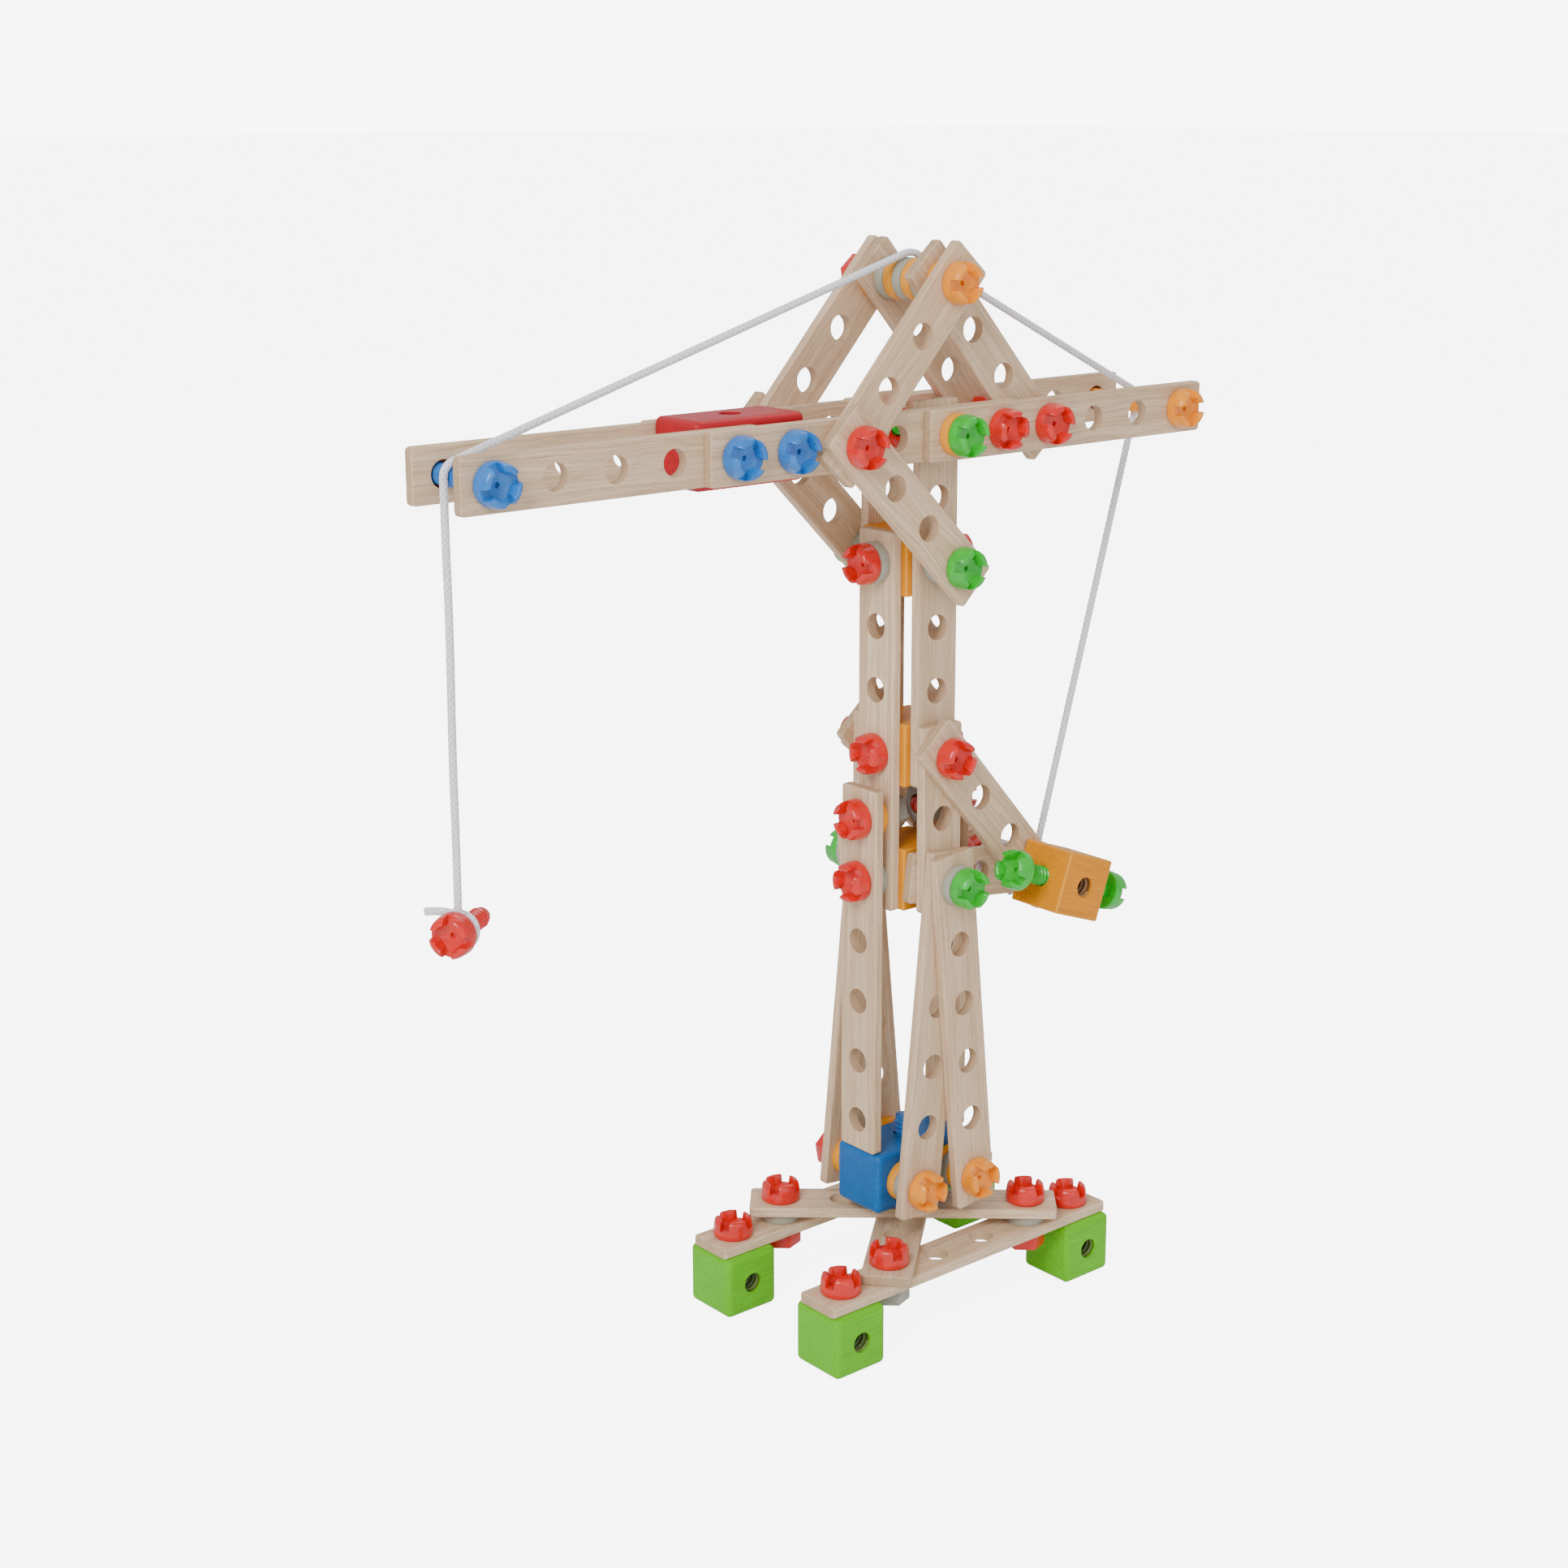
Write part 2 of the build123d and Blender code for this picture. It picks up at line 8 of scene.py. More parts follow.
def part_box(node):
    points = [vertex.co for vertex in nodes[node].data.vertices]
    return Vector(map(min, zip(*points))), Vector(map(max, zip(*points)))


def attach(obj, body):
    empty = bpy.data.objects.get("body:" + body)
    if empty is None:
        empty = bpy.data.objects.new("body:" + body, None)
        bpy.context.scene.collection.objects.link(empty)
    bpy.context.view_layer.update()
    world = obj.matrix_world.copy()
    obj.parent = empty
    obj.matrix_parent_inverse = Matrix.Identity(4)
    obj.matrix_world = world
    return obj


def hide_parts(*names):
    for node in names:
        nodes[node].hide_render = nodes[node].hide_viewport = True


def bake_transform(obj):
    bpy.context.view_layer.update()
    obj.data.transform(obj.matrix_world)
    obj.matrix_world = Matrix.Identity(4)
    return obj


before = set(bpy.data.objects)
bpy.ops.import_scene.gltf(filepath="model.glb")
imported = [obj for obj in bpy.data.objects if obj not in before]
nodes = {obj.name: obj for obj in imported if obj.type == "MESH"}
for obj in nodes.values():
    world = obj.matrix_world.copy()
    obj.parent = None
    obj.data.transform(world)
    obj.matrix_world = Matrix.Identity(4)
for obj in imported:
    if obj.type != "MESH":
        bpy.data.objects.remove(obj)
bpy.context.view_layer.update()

random.seed(7)

# Everything is modelled in millimetres and scaled to metres once, by finishPiece
mm = 0.001
pitch = 30.0
layer = 5.0


def boxMiddle(nodeName):
    low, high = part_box(nodeName)
    return (Vector(low) + Vector(high)) / 2 / mm


towerX = boxMiddle("post_near").x
jibZ = boxMiddle("jib_tip_near").z
winchMiddle = boxMiddle("winch_block")
sideNames = ((-1, "near"), (1, "far"))
endNames = ((-1, "tip"), (1, "rear"))


def onGrid(x, y, z):
    return Vector((towerX + x, y, jibZ + z))


# Node helpers for the materials

def addNode(tree, kind, inputs=None, **settings):
    new = tree.nodes.new("ShaderNode" + kind)
    for key, value in settings.items():
        setattr(new, key, value)
    for key, value in (inputs or {}).items():
        if isinstance(value, bpy.types.NodeSocket):
            tree.links.new(value, new.inputs[key])
        else:
            new.inputs[key].default_value = value
    return new


def sums(tree, operation, first, second=0.0, third=0.0):
    new = addNode(tree, "Math", {0: first, 1: second, 2: third}, operation=operation)
    return new.outputs[0]


def fade(tree, value, low, high, fromLow=0.0, toHigh=1.0):
    inputs = {"Value": value, "From Min": low, "From Max": high, "To Min": fromLow, "To Max": toHigh}
    return addNode(tree, "MapRange", inputs, interpolation_type="SMOOTHSTEP").outputs[0]


def blendColour(tree, amount, first, second, kind="MIX"):
    new = addNode(tree, "Mix", data_type="RGBA", blend_type=kind)
    for socket, value in ((new.inputs[0], amount), (new.inputs[6], first), (new.inputs[7], second)):
        if isinstance(value, bpy.types.NodeSocket):
            tree.links.new(value, socket)
        else:
            socket.default_value = value
    return new.outputs[2]


def noise(tree, vector, stretch, detail=2.0, roughness=0.5):
    scaled = addNode(tree, "VectorMath", {0: vector, 1: stretch}, operation="MULTIPLY").outputs[0]
    inputs = {"Vector": scaled, "Scale": 1.0, "Detail": detail, "Roughness": roughness}
    return addNode(tree, "TexNoise", inputs).outputs["Fac"]


def startGroup(name, inputs, outputs):
    tree = bpy.data.node_groups.new(name, "ShaderNodeTree")
    kinds = {"f": "NodeSocketFloat", "v": "NodeSocketVector", "c": "NodeSocketColor"}
    for label, kind, value in inputs:
        socket = tree.interface.new_socket(label, in_out="INPUT", socket_type=kinds[kind])
        socket.default_value = value
    for label, kind in outputs:
        tree.interface.new_socket(label, in_out="OUTPUT", socket_type=kinds[kind])
    source = tree.nodes.new("NodeGroupInput")
    target = tree.nodes.new("NodeGroupOutput")
    return tree, source.outputs, target.inputs


finishOutputs = (("Color", "c"), ("Roughness", "f"), ("Height", "f"))


# Bare beech: x of Place runs along the grain from the first hole, y across it, z through it
def makeBeechGroup():
    inputs = (("Place", "v", (0, 0, 0)), ("Facing", "v", (0, 0, 1)), ("Slice", "v", (0, 0, 0)),
              ("Step", "f", 30.0), ("Tone", "f", 1.0))
    tree, given, out = startGroup("beechGrain", inputs, finishOutputs)
    axes = addNode(tree, "SeparateXYZ", {0: given["Place"]}).outputs
    place = addNode(tree, "VectorMath", {0: given["Place"], 1: given["Slice"]}, operation="ADD").outputs[0]
    log = addNode(tree, "SeparateXYZ", {0: place}).outputs
    facing = addNode(tree, "SeparateXYZ", {0: given["Facing"]}).outputs
    wander = sums(tree, "MULTIPLY_ADD", noise(tree, place, (0.014, 0.05, 0.05), 1.0), 9.0, log["Y"])
    flow = addNode(tree, "CombineXYZ", {0: log["X"], 1: wander, 2: log["Z"]}).outputs[0]
    bands = fade(tree, noise(tree, flow, (0.006, 0.17, 0.13), 3.0, 0.55), 0.34, 0.68)
    lines = fade(tree, noise(tree, flow, (0.022, 1.15, 0.9), 4.0, 0.62), 0.36, 0.7)
    fibres = noise(tree, flow, (0.16, 5.0, 5.0), 3.0, 0.7)
    flecks = fade(tree, noise(tree, flow, (0.17, 2.1, 2.1), 2.0, 0.5), 0.63, 0.73)
    colour = blendColour(tree, bands, (0.74, 0.555, 0.375, 1), (0.62, 0.43, 0.265, 1))
    colour = blendColour(tree, sums(tree, "MULTIPLY", lines, 0.62), colour, (0.44, 0.275, 0.15, 1))
    colour = blendColour(tree, sums(tree, "MULTIPLY", flecks, 0.42), colour, (0.3, 0.17, 0.085, 1))
    grit = fade(tree, fibres, 0.3, 0.72, 0.9, 1.07)
    shade = addNode(tree, "CombineColor", {0: grit, 1: grit, 2: grit}).outputs[0]
    colour = blendColour(tree, 1.0, colour, shade, "MULTIPLY")
    # End grain drinks light: darker, speckled with open pores
    endGrain = fade(tree, sums(tree, "ABSOLUTE", facing["X"]), 0.55, 0.85)
    pores = fade(tree, noise(tree, place, (0.5, 2.4, 3.4), 3.0, 0.65), 0.42, 0.62)
    endColour = blendColour(tree, pores, (0.5, 0.34, 0.2, 1), (0.3, 0.185, 0.1, 1))
    colour = blendColour(tree, sums(tree, "MULTIPLY", endGrain, 0.72), colour, endColour)
    # Drilled walls are browner than the faces
    inCell = sums(tree, "WRAP", axes["X"], sums(tree, "MULTIPLY", given["Step"], 0.5),
                  sums(tree, "MULTIPLY", given["Step"], -0.5))
    fromHole = addNode(tree, "CombineXYZ", {0: inCell, 1: axes["Y"]}).outputs[0]
    radius = addNode(tree, "VectorMath", {0: fromHole}, operation="LENGTH").outputs["Value"]
    sunk = sums(tree, "SUBTRACT", 1.0, fade(tree, sums(tree, "ABSOLUTE", facing["Z"]), 0.3, 0.8))
    drilled = sums(tree, "MULTIPLY", sunk, sums(tree, "SUBTRACT", 1.0, fade(tree, radius, 6.2, 6.6)))
    wall = blendColour(tree, noise(tree, place, (0.5, 0.5, 2.5), 2.0),
                       (0.44, 0.285, 0.165, 1), (0.58, 0.4, 0.245, 1))
    colour = blendColour(tree, sums(tree, "MULTIPLY", drilled, 0.8), colour, wall)
    tone = addNode(tree, "HueSaturation", {"Color": colour, "Value": given["Tone"]})
    tree.links.new(tone.outputs[0], out["Color"])
    tree.links.new(fade(tree, lines, 0.0, 1.0, 0.5, 0.62), out["Roughness"])
    relief = sums(tree, "MULTIPLY_ADD", flecks, -0.8, sums(tree, "MULTIPLY_ADD", lines, -0.5, fibres))
    tree.links.new(relief, out["Height"])
    return tree


# Stained blocks: x of Place runs along the grain, measured from the block's middle
def makeStainGroup():
    inputs = (("Place", "v", (0, 0, 0)), ("Half", "v", (15, 15, 15)), ("Slice", "v", (0, 0, 0)),
              ("Stain", "c", (0.5, 0.5, 0.5, 1)), ("WornAndHighlight", "c", (0.8, 0.8, 0.8, 1)),
              ("Bore", "c", (0.2, 0.1, 0.05, 1)))
    tree, given, out = startGroup("stainedBlock", inputs, finishOutputs)
    place = addNode(tree, "VectorMath", {0: given["Place"], 1: given["Slice"]}, operation="ADD").outputs[0]
    reach = addNode(tree, "VectorMath", {0: given["Place"]}, operation="ABSOLUTE").outputs[0]
    depth = addNode(tree, "VectorMath", {0: given["Half"], 1: reach}, operation="SUBTRACT").outputs[0]
    depths = addNode(tree, "SeparateXYZ", {0: depth}).outputs
    nearer = sums(tree, "MINIMUM", depths[0], depths[1])
    further = sums(tree, "MAXIMUM", depths[0], depths[1])
    second = sums(tree, "MAXIMUM", nearer, sums(tree, "MINIMUM", further, depths[2]))
    first = sums(tree, "MINIMUM", nearer, depths[2])
    grain = noise(tree, place, (0.05, 0.9, 0.9), 4.0, 0.62)
    cloud = noise(tree, place, (0.05, 0.07, 0.07), 2.0)
    speckle = noise(tree, place, (2.2, 2.2, 2.2), 2.0, 0.6)
    darker = blendColour(tree, 1.0, given["Stain"], (0.72, 0.7, 0.62, 1), "MULTIPLY")
    colour = blendColour(tree, fade(tree, grain, 0.35, 0.72, 0.0, 0.75), given["Stain"], darker)
    colour = blendColour(tree, fade(tree, cloud, 0.35, 0.7, 0.0, 0.3), colour, darker)
    colour = blendColour(tree, fade(tree, speckle, 0.6, 0.8, 0.0, 0.35), colour, given["WornAndHighlight"])
    # Lighter at the rounded edges: partly rubbed stain, partly a painted highlight
    wearAndHighlightDepth = sums(tree, "MULTIPLY_ADD", speckle, 0.9, second)
    edge = sums(tree, "SUBTRACT", 1.0, fade(tree, wearAndHighlightDepth, 0.75, 1.75))
    colour = blendColour(tree, sums(tree, "MULTIPLY", edge, 0.4), colour, given["WornAndHighlight"])
    # Deep inside the bores the stain turns to its dark tint: painted shade
    bore = fade(tree, first, 0.9, 1.4)
    colour = blendColour(tree, bore, colour, given["Bore"])
    tree.links.new(colour, out["Color"])
    tree.links.new(fade(tree, speckle, 0.3, 0.7, 0.34, 0.46), out["Roughness"])
    tree.links.new(sums(tree, "MULTIPLY_ADD", speckle, 0.6, grain), out["Height"])
    return tree


# Moulded plastic: even colour with the faint mottle and orange peel of a mould
def makeMouldGroup():
    inputs = (("Place", "v", (0, 0, 0)), ("Plastic", "c", (0.5, 0.5, 0.5, 1)), ("Gloss", "f", 0.3))
    tree, given, out = startGroup("mouldedPlastic", inputs, finishOutputs)
    mottle = noise(tree, given["Place"], (0.13, 0.13, 0.13), 3.0, 0.6)
    peel = noise(tree, given["Place"], (1.1, 1.1, 1.1), 2.0, 0.5)
    scuff = fade(tree, noise(tree, given["Place"], (0.5, 0.5, 3.4), 4.0, 0.7), 0.56, 0.74)
    darker = blendColour(tree, 1.0, given["Plastic"], (0.84, 0.8, 0.8, 1), "MULTIPLY")
    colour = blendColour(tree, fade(tree, mottle, 0.3, 0.7), given["Plastic"], darker)
    tree.links.new(colour, out["Color"])
    tree.links.new(sums(tree, "MULTIPLY_ADD", scuff, 0.14, given["Gloss"]), out["Roughness"])
    tree.links.new(sums(tree, "MULTIPLY_ADD", scuff, -0.25, peel), out["Height"])
    return tree


beechGroup = makeBeechGroup()
stainGroup = makeStainGroup()
mouldGroup = makeMouldGroup()


def localPlace(tree, start, turn):
    # Object coordinates as millimetres from start, turned into the piece's own directions
    spot = addNode(tree, "TexCoord")
    angles = turn.to_euler()
    place = addNode(tree, "Mapping", {0: spot.outputs["Object"], 1: start * mm, 2: angles, 3: (mm, mm, mm)},
                    vector_type="TEXTURE")
    facing = addNode(tree, "Mapping", {0: spot.outputs["Normal"], 2: angles}, vector_type="TEXTURE")
    return place.outputs[0], facing.outputs[0]


def finishMaterial(name, group, values, bump, start=Vector(), turn=Matrix.Identity(3), **shader):
    material = bpy.data.materials.new(name)
    material.use_nodes = True
    tree = material.node_tree
    principled = tree.nodes["Principled BSDF"]
    place, facing = localPlace(tree, start, turn)
    effect = addNode(tree, "Group", node_tree=group)
    tree.links.new(place, effect.inputs["Place"])
    if "Facing" in effect.inputs:
        tree.links.new(facing, effect.inputs["Facing"])
    for key, value in values.items():
        effect.inputs[key].default_value = value
    rise = addNode(tree, "Bump", {"Height": effect.outputs["Height"], "Distance": bump * mm, "Strength": 1.0})
    tree.links.new(effect.outputs["Color"], principled.inputs["Base Color"])
    tree.links.new(effect.outputs["Roughness"], principled.inputs["Roughness"])
    tree.links.new(rise.outputs[0], principled.inputs["Normal"])
    for key, value in shader.items():
        principled.inputs[key.replace("_", " ")].default_value = value
    return material


def paint(nodeName, material):
    obj = nodes[nodeName]
    if not obj.data.materials:
        obj.data.materials.append(material)
    for slot in obj.material_slots:
        slot.material = material


print("materials ready")

# Perforated boards: each gets its own grain, running along it from its first hole
boards = {"tones": (0.93, 1.06), "bump": 0.07, "specular": 0.35}


def beechBoard(nodeName, start, along, through, step=pitch):
    along, through = Vector(along).normalized(), Vector(through)
    turn = Matrix((along, through.cross(along), through)).transposed()
    values = {"Slice": [random.uniform(-400, 400) for _ in range(3)], "Step": step,
              "Tone": random.uniform(*boards["tones"])}
    material = finishMaterial(nodeName + "Beech", beechGroup, values, boards["bump"], start, turn,
                              Specular_IOR_Level=boards["specular"])
    paint(nodeName, material)


apexRise = math.sqrt((3 * pitch) ** 2 - (2 * pitch) ** 2)
legLean = math.asin(0.1)
winchX = winchMiddle.x - towerX
winchZ = winchMiddle.z - jibZ
railY = boxMiddle("rail_far").y
crossLean = math.atan2(2 * railY, 3 * pitch)
deckZ = pitch + layer

# First hole (x, z) and direction (x, z) of the boards that come in a near and a far one
pairedBoards = {
    "jib_tip": (-8 * pitch, 0, 1, 0),
    "jib_middle": (-4 * pitch, 0, 1, 0),
    "jib_rear": (0, 0, 1, 0),
    "post": (0, 0, 0, -1),
    "winch_arm": (0, -5 * pitch, winchX, winchZ + 5 * pitch),
    "winch_prop": (0, -7 * pitch, winchX, winchZ + 7 * pitch),
    "mast_front": (-2 * pitch, 0, 2 * pitch, apexRise),
    "mast_rear": (2 * pitch, 0, -2 * pitch, apexRise),
}
for side, sideName in sideNames:
    for boardName, (x, z, alongX, alongZ) in pairedBoards.items():
        beechBoard(boardName + "_" + sideName, onGrid(x, 0, z), (alongX, 0, alongZ), (0, 1, 0))
    for end, endName in endNames:
        lean = (end * math.sin(legLean), 0, -math.cos(legLean))
        beechBoard("leg_" + sideName + "_" + endName, onGrid(0, 0, -7 * pitch), lean, (0, 1, 0))
    beechBoard("rail_" + sideName, Vector((towerX - 2.5 * pitch, side * railY, pitch)), (1, 0, 0), (0, 0, 1))
for end, endName in endNames:
    beechBoard("post_" + endName, onGrid(0, 0, -2 * pitch), (0, 0, -1), (1, 0, 0))
    beechBoard("leg_" + endName, onGrid(0, 0, -6 * pitch), (0, 0, -1), (1, 0, 0))
beechBoard("splice_strips", onGrid(0, 0, -5 * pitch), (0, 0, -1), (0, 1, 0))
beechBoard("braces", onGrid(-2 * pitch, 0, 0), (1, 0, -1), (0, 1, 0), 2 * pitch * math.sqrt(2) / 3)
for crossName, way in (("cross_lower", 1), ("cross_upper", -1)):
    along = Vector((math.cos(crossLean), way * math.sin(crossLean), 0))
    beechBoard(crossName, Vector((towerX, 0, deckZ)) - along * 2 * pitch, along, (0, 0, 1))
print("boards finished")

# Blocks: stained wood with threaded bores, lighter at the rounded corners from rubbed stain and painted
# highlight, and with painted shade deep in the bores
blocks = {"bump": 0.05, "gloss": 0.25}
# Each stain: its colour, a lighter tint for rubbed specks and the painted edge highlight, and a dark tint
# that paints shade inside the bores
stains = {
    "green": ((0.12, 0.52, 0.0, 1), (0.2, 0.56, 0.02, 1), (0.09, 0.13, 0.02, 1)),
    "blue": ((0.008, 0.125, 0.43, 1), (0.05, 0.24, 0.6, 1), (0.01, 0.04, 0.12, 1)),
    "red": ((0.46, 0.008, 0.018, 1), (0.7, 0.09, 0.1, 1), (0.13, 0.01, 0.01, 1)),
    "amber": ((0.74, 0.26, 0.0, 1), (0.82, 0.38, 0.03, 1), (0.2, 0.085, 0.025, 1)),
}


def stainedBlock(nodeName, middle, half, stainName, turn=Matrix.Identity(3)):
    stain, wornAndHighlight, bore = stains[stainName]
    values = {"Half": half, "Slice": [random.uniform(-400, 400) for _ in range(3)],
              "Stain": stain, "WornAndHighlight": wornAndHighlight, "Bore": bore}
    material = finishMaterial(nodeName + "Stain", stainGroup, values, blocks["bump"], middle, turn,
                              Specular_IOR_Level=blocks["gloss"])
    paint(nodeName, material)
    return material


cube = (15, 15, 15)
longBlock = (30, 15, 15)
for side, sideName in sideNames:
    for end, endName in endNames:
        footName = "foot_" + endName + "_" + sideName
        stainedBlock(footName, boxMiddle(footName), cube, "green")
stainedBlock("turret_block", boxMiddle("turret_block"), longBlock, "blue")
stainedBlock("jib_block", boxMiddle("jib_block"), longBlock, "red")

crankArm = {"turn": 20, "show": 15.0, "bite": 9.5}
crankTurn = math.radians(crankArm["turn"])
crank = Vector((math.cos(crankTurn), 0, -math.sin(crankTurn)))
crankMatrix = Matrix((crank, (0, 1, 0), crank.cross(Vector((0, 1, 0))))).transposed()
stainedBlock("winch_block", winchMiddle, cube, "amber", crankMatrix)

# Three cubes share one node, so the pattern first finds the middle of the cube it is on
postLevels = (-7 * pitch, -5 * pitch, -2 * pitch)
upright = Matrix(((0, 0, 1), (0, 1, 0), (-1, 0, 0))).transposed()
postStain = stainedBlock("post_blocks", onGrid(0, 0, 0), cube, "amber", upright)
tree = postStain.node_tree
effect = next(each for each in tree.nodes if each.type == "GROUP")
wholePlace = effect.inputs["Place"].links[0].from_socket
axes = addNode(tree, "SeparateXYZ", {0: wholePlace}).outputs
middleLevel = sums(tree, "MULTIPLY", sums(tree, "GREATER_THAN", axes["X"], -6 * pitch), 2 * pitch)
topLevel = sums(tree, "MULTIPLY", sums(tree, "GREATER_THAN", axes["X"], -3.5 * pitch), 3 * pitch)
level = sums(tree, "ADD", sums(tree, "ADD", middleLevel, topLevel), postLevels[0])
cubeMiddle = addNode(tree, "CombineXYZ", {0: level}).outputs[0]
fromMiddle = addNode(tree, "VectorMath", {0: wholePlace, 1: cubeMiddle}, operation="SUBTRACT").outputs[0]
tree.links.new(fromMiddle, effect.inputs["Place"])
print("blocks finished")

# Plastics of the screws, nuts and rings
plasticColours = {
    "red": (0.7, 0.008, 0.004, 1),
    "green": (0.01, 0.48, 0.02, 1),
    "blue": (0.012, 0.17, 0.56, 1),
    "amber": (0.93, 0.3, 0.0, 1),
    "grey": (0.33, 0.32, 0.27, 1),
}
plastics = {}
for colourName, colour in plasticColours.items():
    plastics[colourName] = finishMaterial(
        colourName + "Plastic", mouldGroup, {"Plastic": colour, "Gloss": 0.27}, 0.05,
        Subsurface_Weight=0.06, Subsurface_Scale=0.003, Specular_IOR_Level=0.5, Coat_Weight=0.15,
        Coat_Roughness=0.2)
ringStains = {
    "amberRing": ((0.8, 0.31, 0.006, 1), (0.86, 0.5, 0.12, 1)),
    "greyRing": ((0.33, 0.325, 0.26, 1), (0.5, 0.49, 0.42, 1)),
}
ringPaints = {}
for ringName, (stain, wornAndHighlight) in ringStains.items():
    values = {"Half": (1000, 1000, 1000), "Stain": stain, "WornAndHighlight": wornAndHighlight, "Bore": stain}
    ringPaints[ringName] = finishMaterial(ringName + "Stain", stainGroup, values, 0.04)


def finishPiece(name, bm, materials, body, replaced, sharpest=32.0):
    bmesh.ops.scale(bm, vec=(mm, mm, mm), verts=bm.verts)
    mesh = bpy.data.meshes.new(name)
    bm.to_mesh(mesh)
    bm.free()
    mesh.shade_smooth()
    mesh.set_sharp_from_angle(angle=math.radians(sharpest))
    obj = bpy.data.objects.new(name, mesh)
    bpy.context.scene.collection.objects.link(obj)
    for material in materials:
        mesh.materials.append(material)
    if body:
        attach(obj, body)
    if replaced:
        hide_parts(*replaced)
    return obj


def lathe(bm, profile, steps, closed=False):
    verts = [bm.verts.new((radius, 0, height)) for radius, height in profile]
    pairs = list(zip(verts, verts[1:] + verts[:1])) if closed else list(zip(verts, verts[1:]))
    edges = [bm.edges.new(pair) for pair in pairs]
    bmesh.ops.spin(bm, geom=verts + edges, cent=(0, 0, 0), axis=(0, 0, 1), angle=2 * math.pi,
                   steps=steps, use_merge=True)
    bmesh.ops.remove_doubles(bm, verts=bm.verts, dist=0.0005)


def keepAsMesh(name, bm):
    bmesh.ops.recalc_face_normals(bm, faces=bm.faces)
    mesh = bpy.data.meshes.new(name)
    bm.to_mesh(mesh)
    bm.free()
    return mesh


# Castle-headed screw, standing on its seat at zero with the head up
castle = {"radius": 9.6, "height": 9.5, "floor": 4.7, "slot": 4.8, "bowl": 5.2, "pin": 1.1, "edge": 0.5}
thread = {"root": 3.95, "crest": 4.72, "pitch": 2.4, "steps": 20}


def makeCastleHead():
    r, floor, bowl, top = castle["radius"], castle["floor"], castle["bowl"], castle["height"]
    bm = bmesh.new()
    disc = [(0, 1.9), (castle["pin"], 1.9), (castle["pin"], 3.2), (castle["pin"] + 0.25, 3.5), (2.6, 3.72),
            (bowl - 0.5, 4.15), (bowl + 0.6, floor - 0.12), (6.2, floor), (r - 0.55, floor),
            (r - 0.25, floor - 0.2), (r - 0.1, floor - 0.9), (r, 2.4), (r, 1.3), (r - 0.15, 0.6),
            (r - 0.55, 0.15), (r - 1.1, 0), (0, 0)]
    lathe(bm, disc, 48)
    # One battlement, cut square by the slots and then turned round to make four
    lug = bmesh.new()
    wall = [(bowl - 0.1, floor - 0.6), (bowl + 0.05, floor + 0.7), (bowl + 0.45, top - 2.0),
            (bowl + 0.95, top - 0.5), (bowl + 1.6, top - 0.05), (r - 2.6, top), (r - 1.5, top - 0.35),
            (r - 0.8, top - 1.1), (r - 0.4, top - 2.6), (r - 0.22, floor + 0.4), (r - 0.2, floor - 0.6)]
    verts = [lug.verts.new((radius, 0, height)) for radius, height in wall]
    edges = [lug.edges.new(pair) for pair in zip(verts, verts[1:] + verts[:1])]
    bmesh.ops.spin(lug, geom=verts + edges, cent=(0, 0, 0), axis=(0, 0, 1), angle=math.pi / 2, steps=12)
    for direction in ((1, 0, 0), (0, 1, 0)):
        edgeOfSlot = Vector(direction) * castle["slot"] / 2
        everything = lug.verts[:] + lug.edges[:] + lug.faces[:]
        bmesh.ops.bisect_plane(lug, geom=everything, plane_co=edgeOfSlot, plane_no=direction,
                               clear_inner=True)
    openEdges = [edge for edge in lug.edges if edge.is_boundary]
    caps = bmesh.ops.holes_fill(lug, edges=openEdges, sides=0)["faces"]
    rims = list({edge for cap in caps for edge in cap.edges})
    bmesh.ops.bevel(lug, geom=rims, offset=castle["edge"], segments=2, affect="EDGES", profile=0.5,
                    material=-1, clamp_overlap=True)
    everything = lug.verts[:] + lug.edges[:] + lug.faces[:]
    bmesh.ops.spin(lug, geom=everything, cent=(0, 0, 0), axis=(0, 0, 1), angle=1.5 * math.pi, steps=3,
                   use_duplicate=True)
    bm.from_mesh(keepAsMesh("battlements", lug))
    return keepAsMesh("castleHead", bm)


shaftMeshes = {}


def makeShaft(length):
    key = round(length, 1)
    if key in shaftMeshes:
        return shaftMeshes[key]
    root, crest, rise = thread["root"], thread["crest"], thread["pitch"]
    bm = bmesh.new()
    core = [(0, -length), (root - 0.9, -length), (root - 0.3, 0.25 - length), (root, 0.9 - length),
            (root, 0.6), (0, 0.6)]
    lathe(bm, core, 28)
    rib = bmesh.new()
    bottom = -0.2
    turns = (length - 1.6 - 0.75 * rise) / rise
    section = [(root - 0.25, bottom), (crest - 0.1, bottom - 0.24 * rise), (crest, bottom - 0.33 * rise),
               (crest - 0.1, bottom - 0.42 * rise), (root - 0.25, bottom - 0.66 * rise)]
    verts = [rib.verts.new((radius, 0, height)) for radius, height in section]
    edges = [rib.edges.new(pair) for pair in zip(verts, verts[1:] + verts[:1])]
    steps = max(4, round(turns * thread["steps"]))
    bmesh.ops.spin(rib, geom=verts + edges, cent=(0, 0, 0), axis=(0, 0, 1), angle=-2 * math.pi * turns,
                   steps=steps, dvec=(0, 0, -rise * turns / steps))
    bmesh.ops.holes_fill(rib, edges=[edge for edge in rib.edges if edge.is_boundary], sides=0)
    bm.from_mesh(keepAsMesh("threadRib", rib))
    shaftMeshes[key] = keepAsMesh("shaft", bm)
    return shaftMeshes[key]


headMesh = makeCastleHead()


def addCopy(bm, mesh, base, outward, turn=0.0):
    before = len(bm.verts)
    bm.from_mesh(mesh)
    bm.verts.ensure_lookup_table()
    aim = Vector(outward).to_track_quat("Z", "Y").to_matrix().to_4x4()
    place = Matrix.Translation(base) @ aim @ Matrix.Rotation(turn, 4, "Z")
    bmesh.ops.transform(bm, matrix=place, verts=bm.verts[before:])


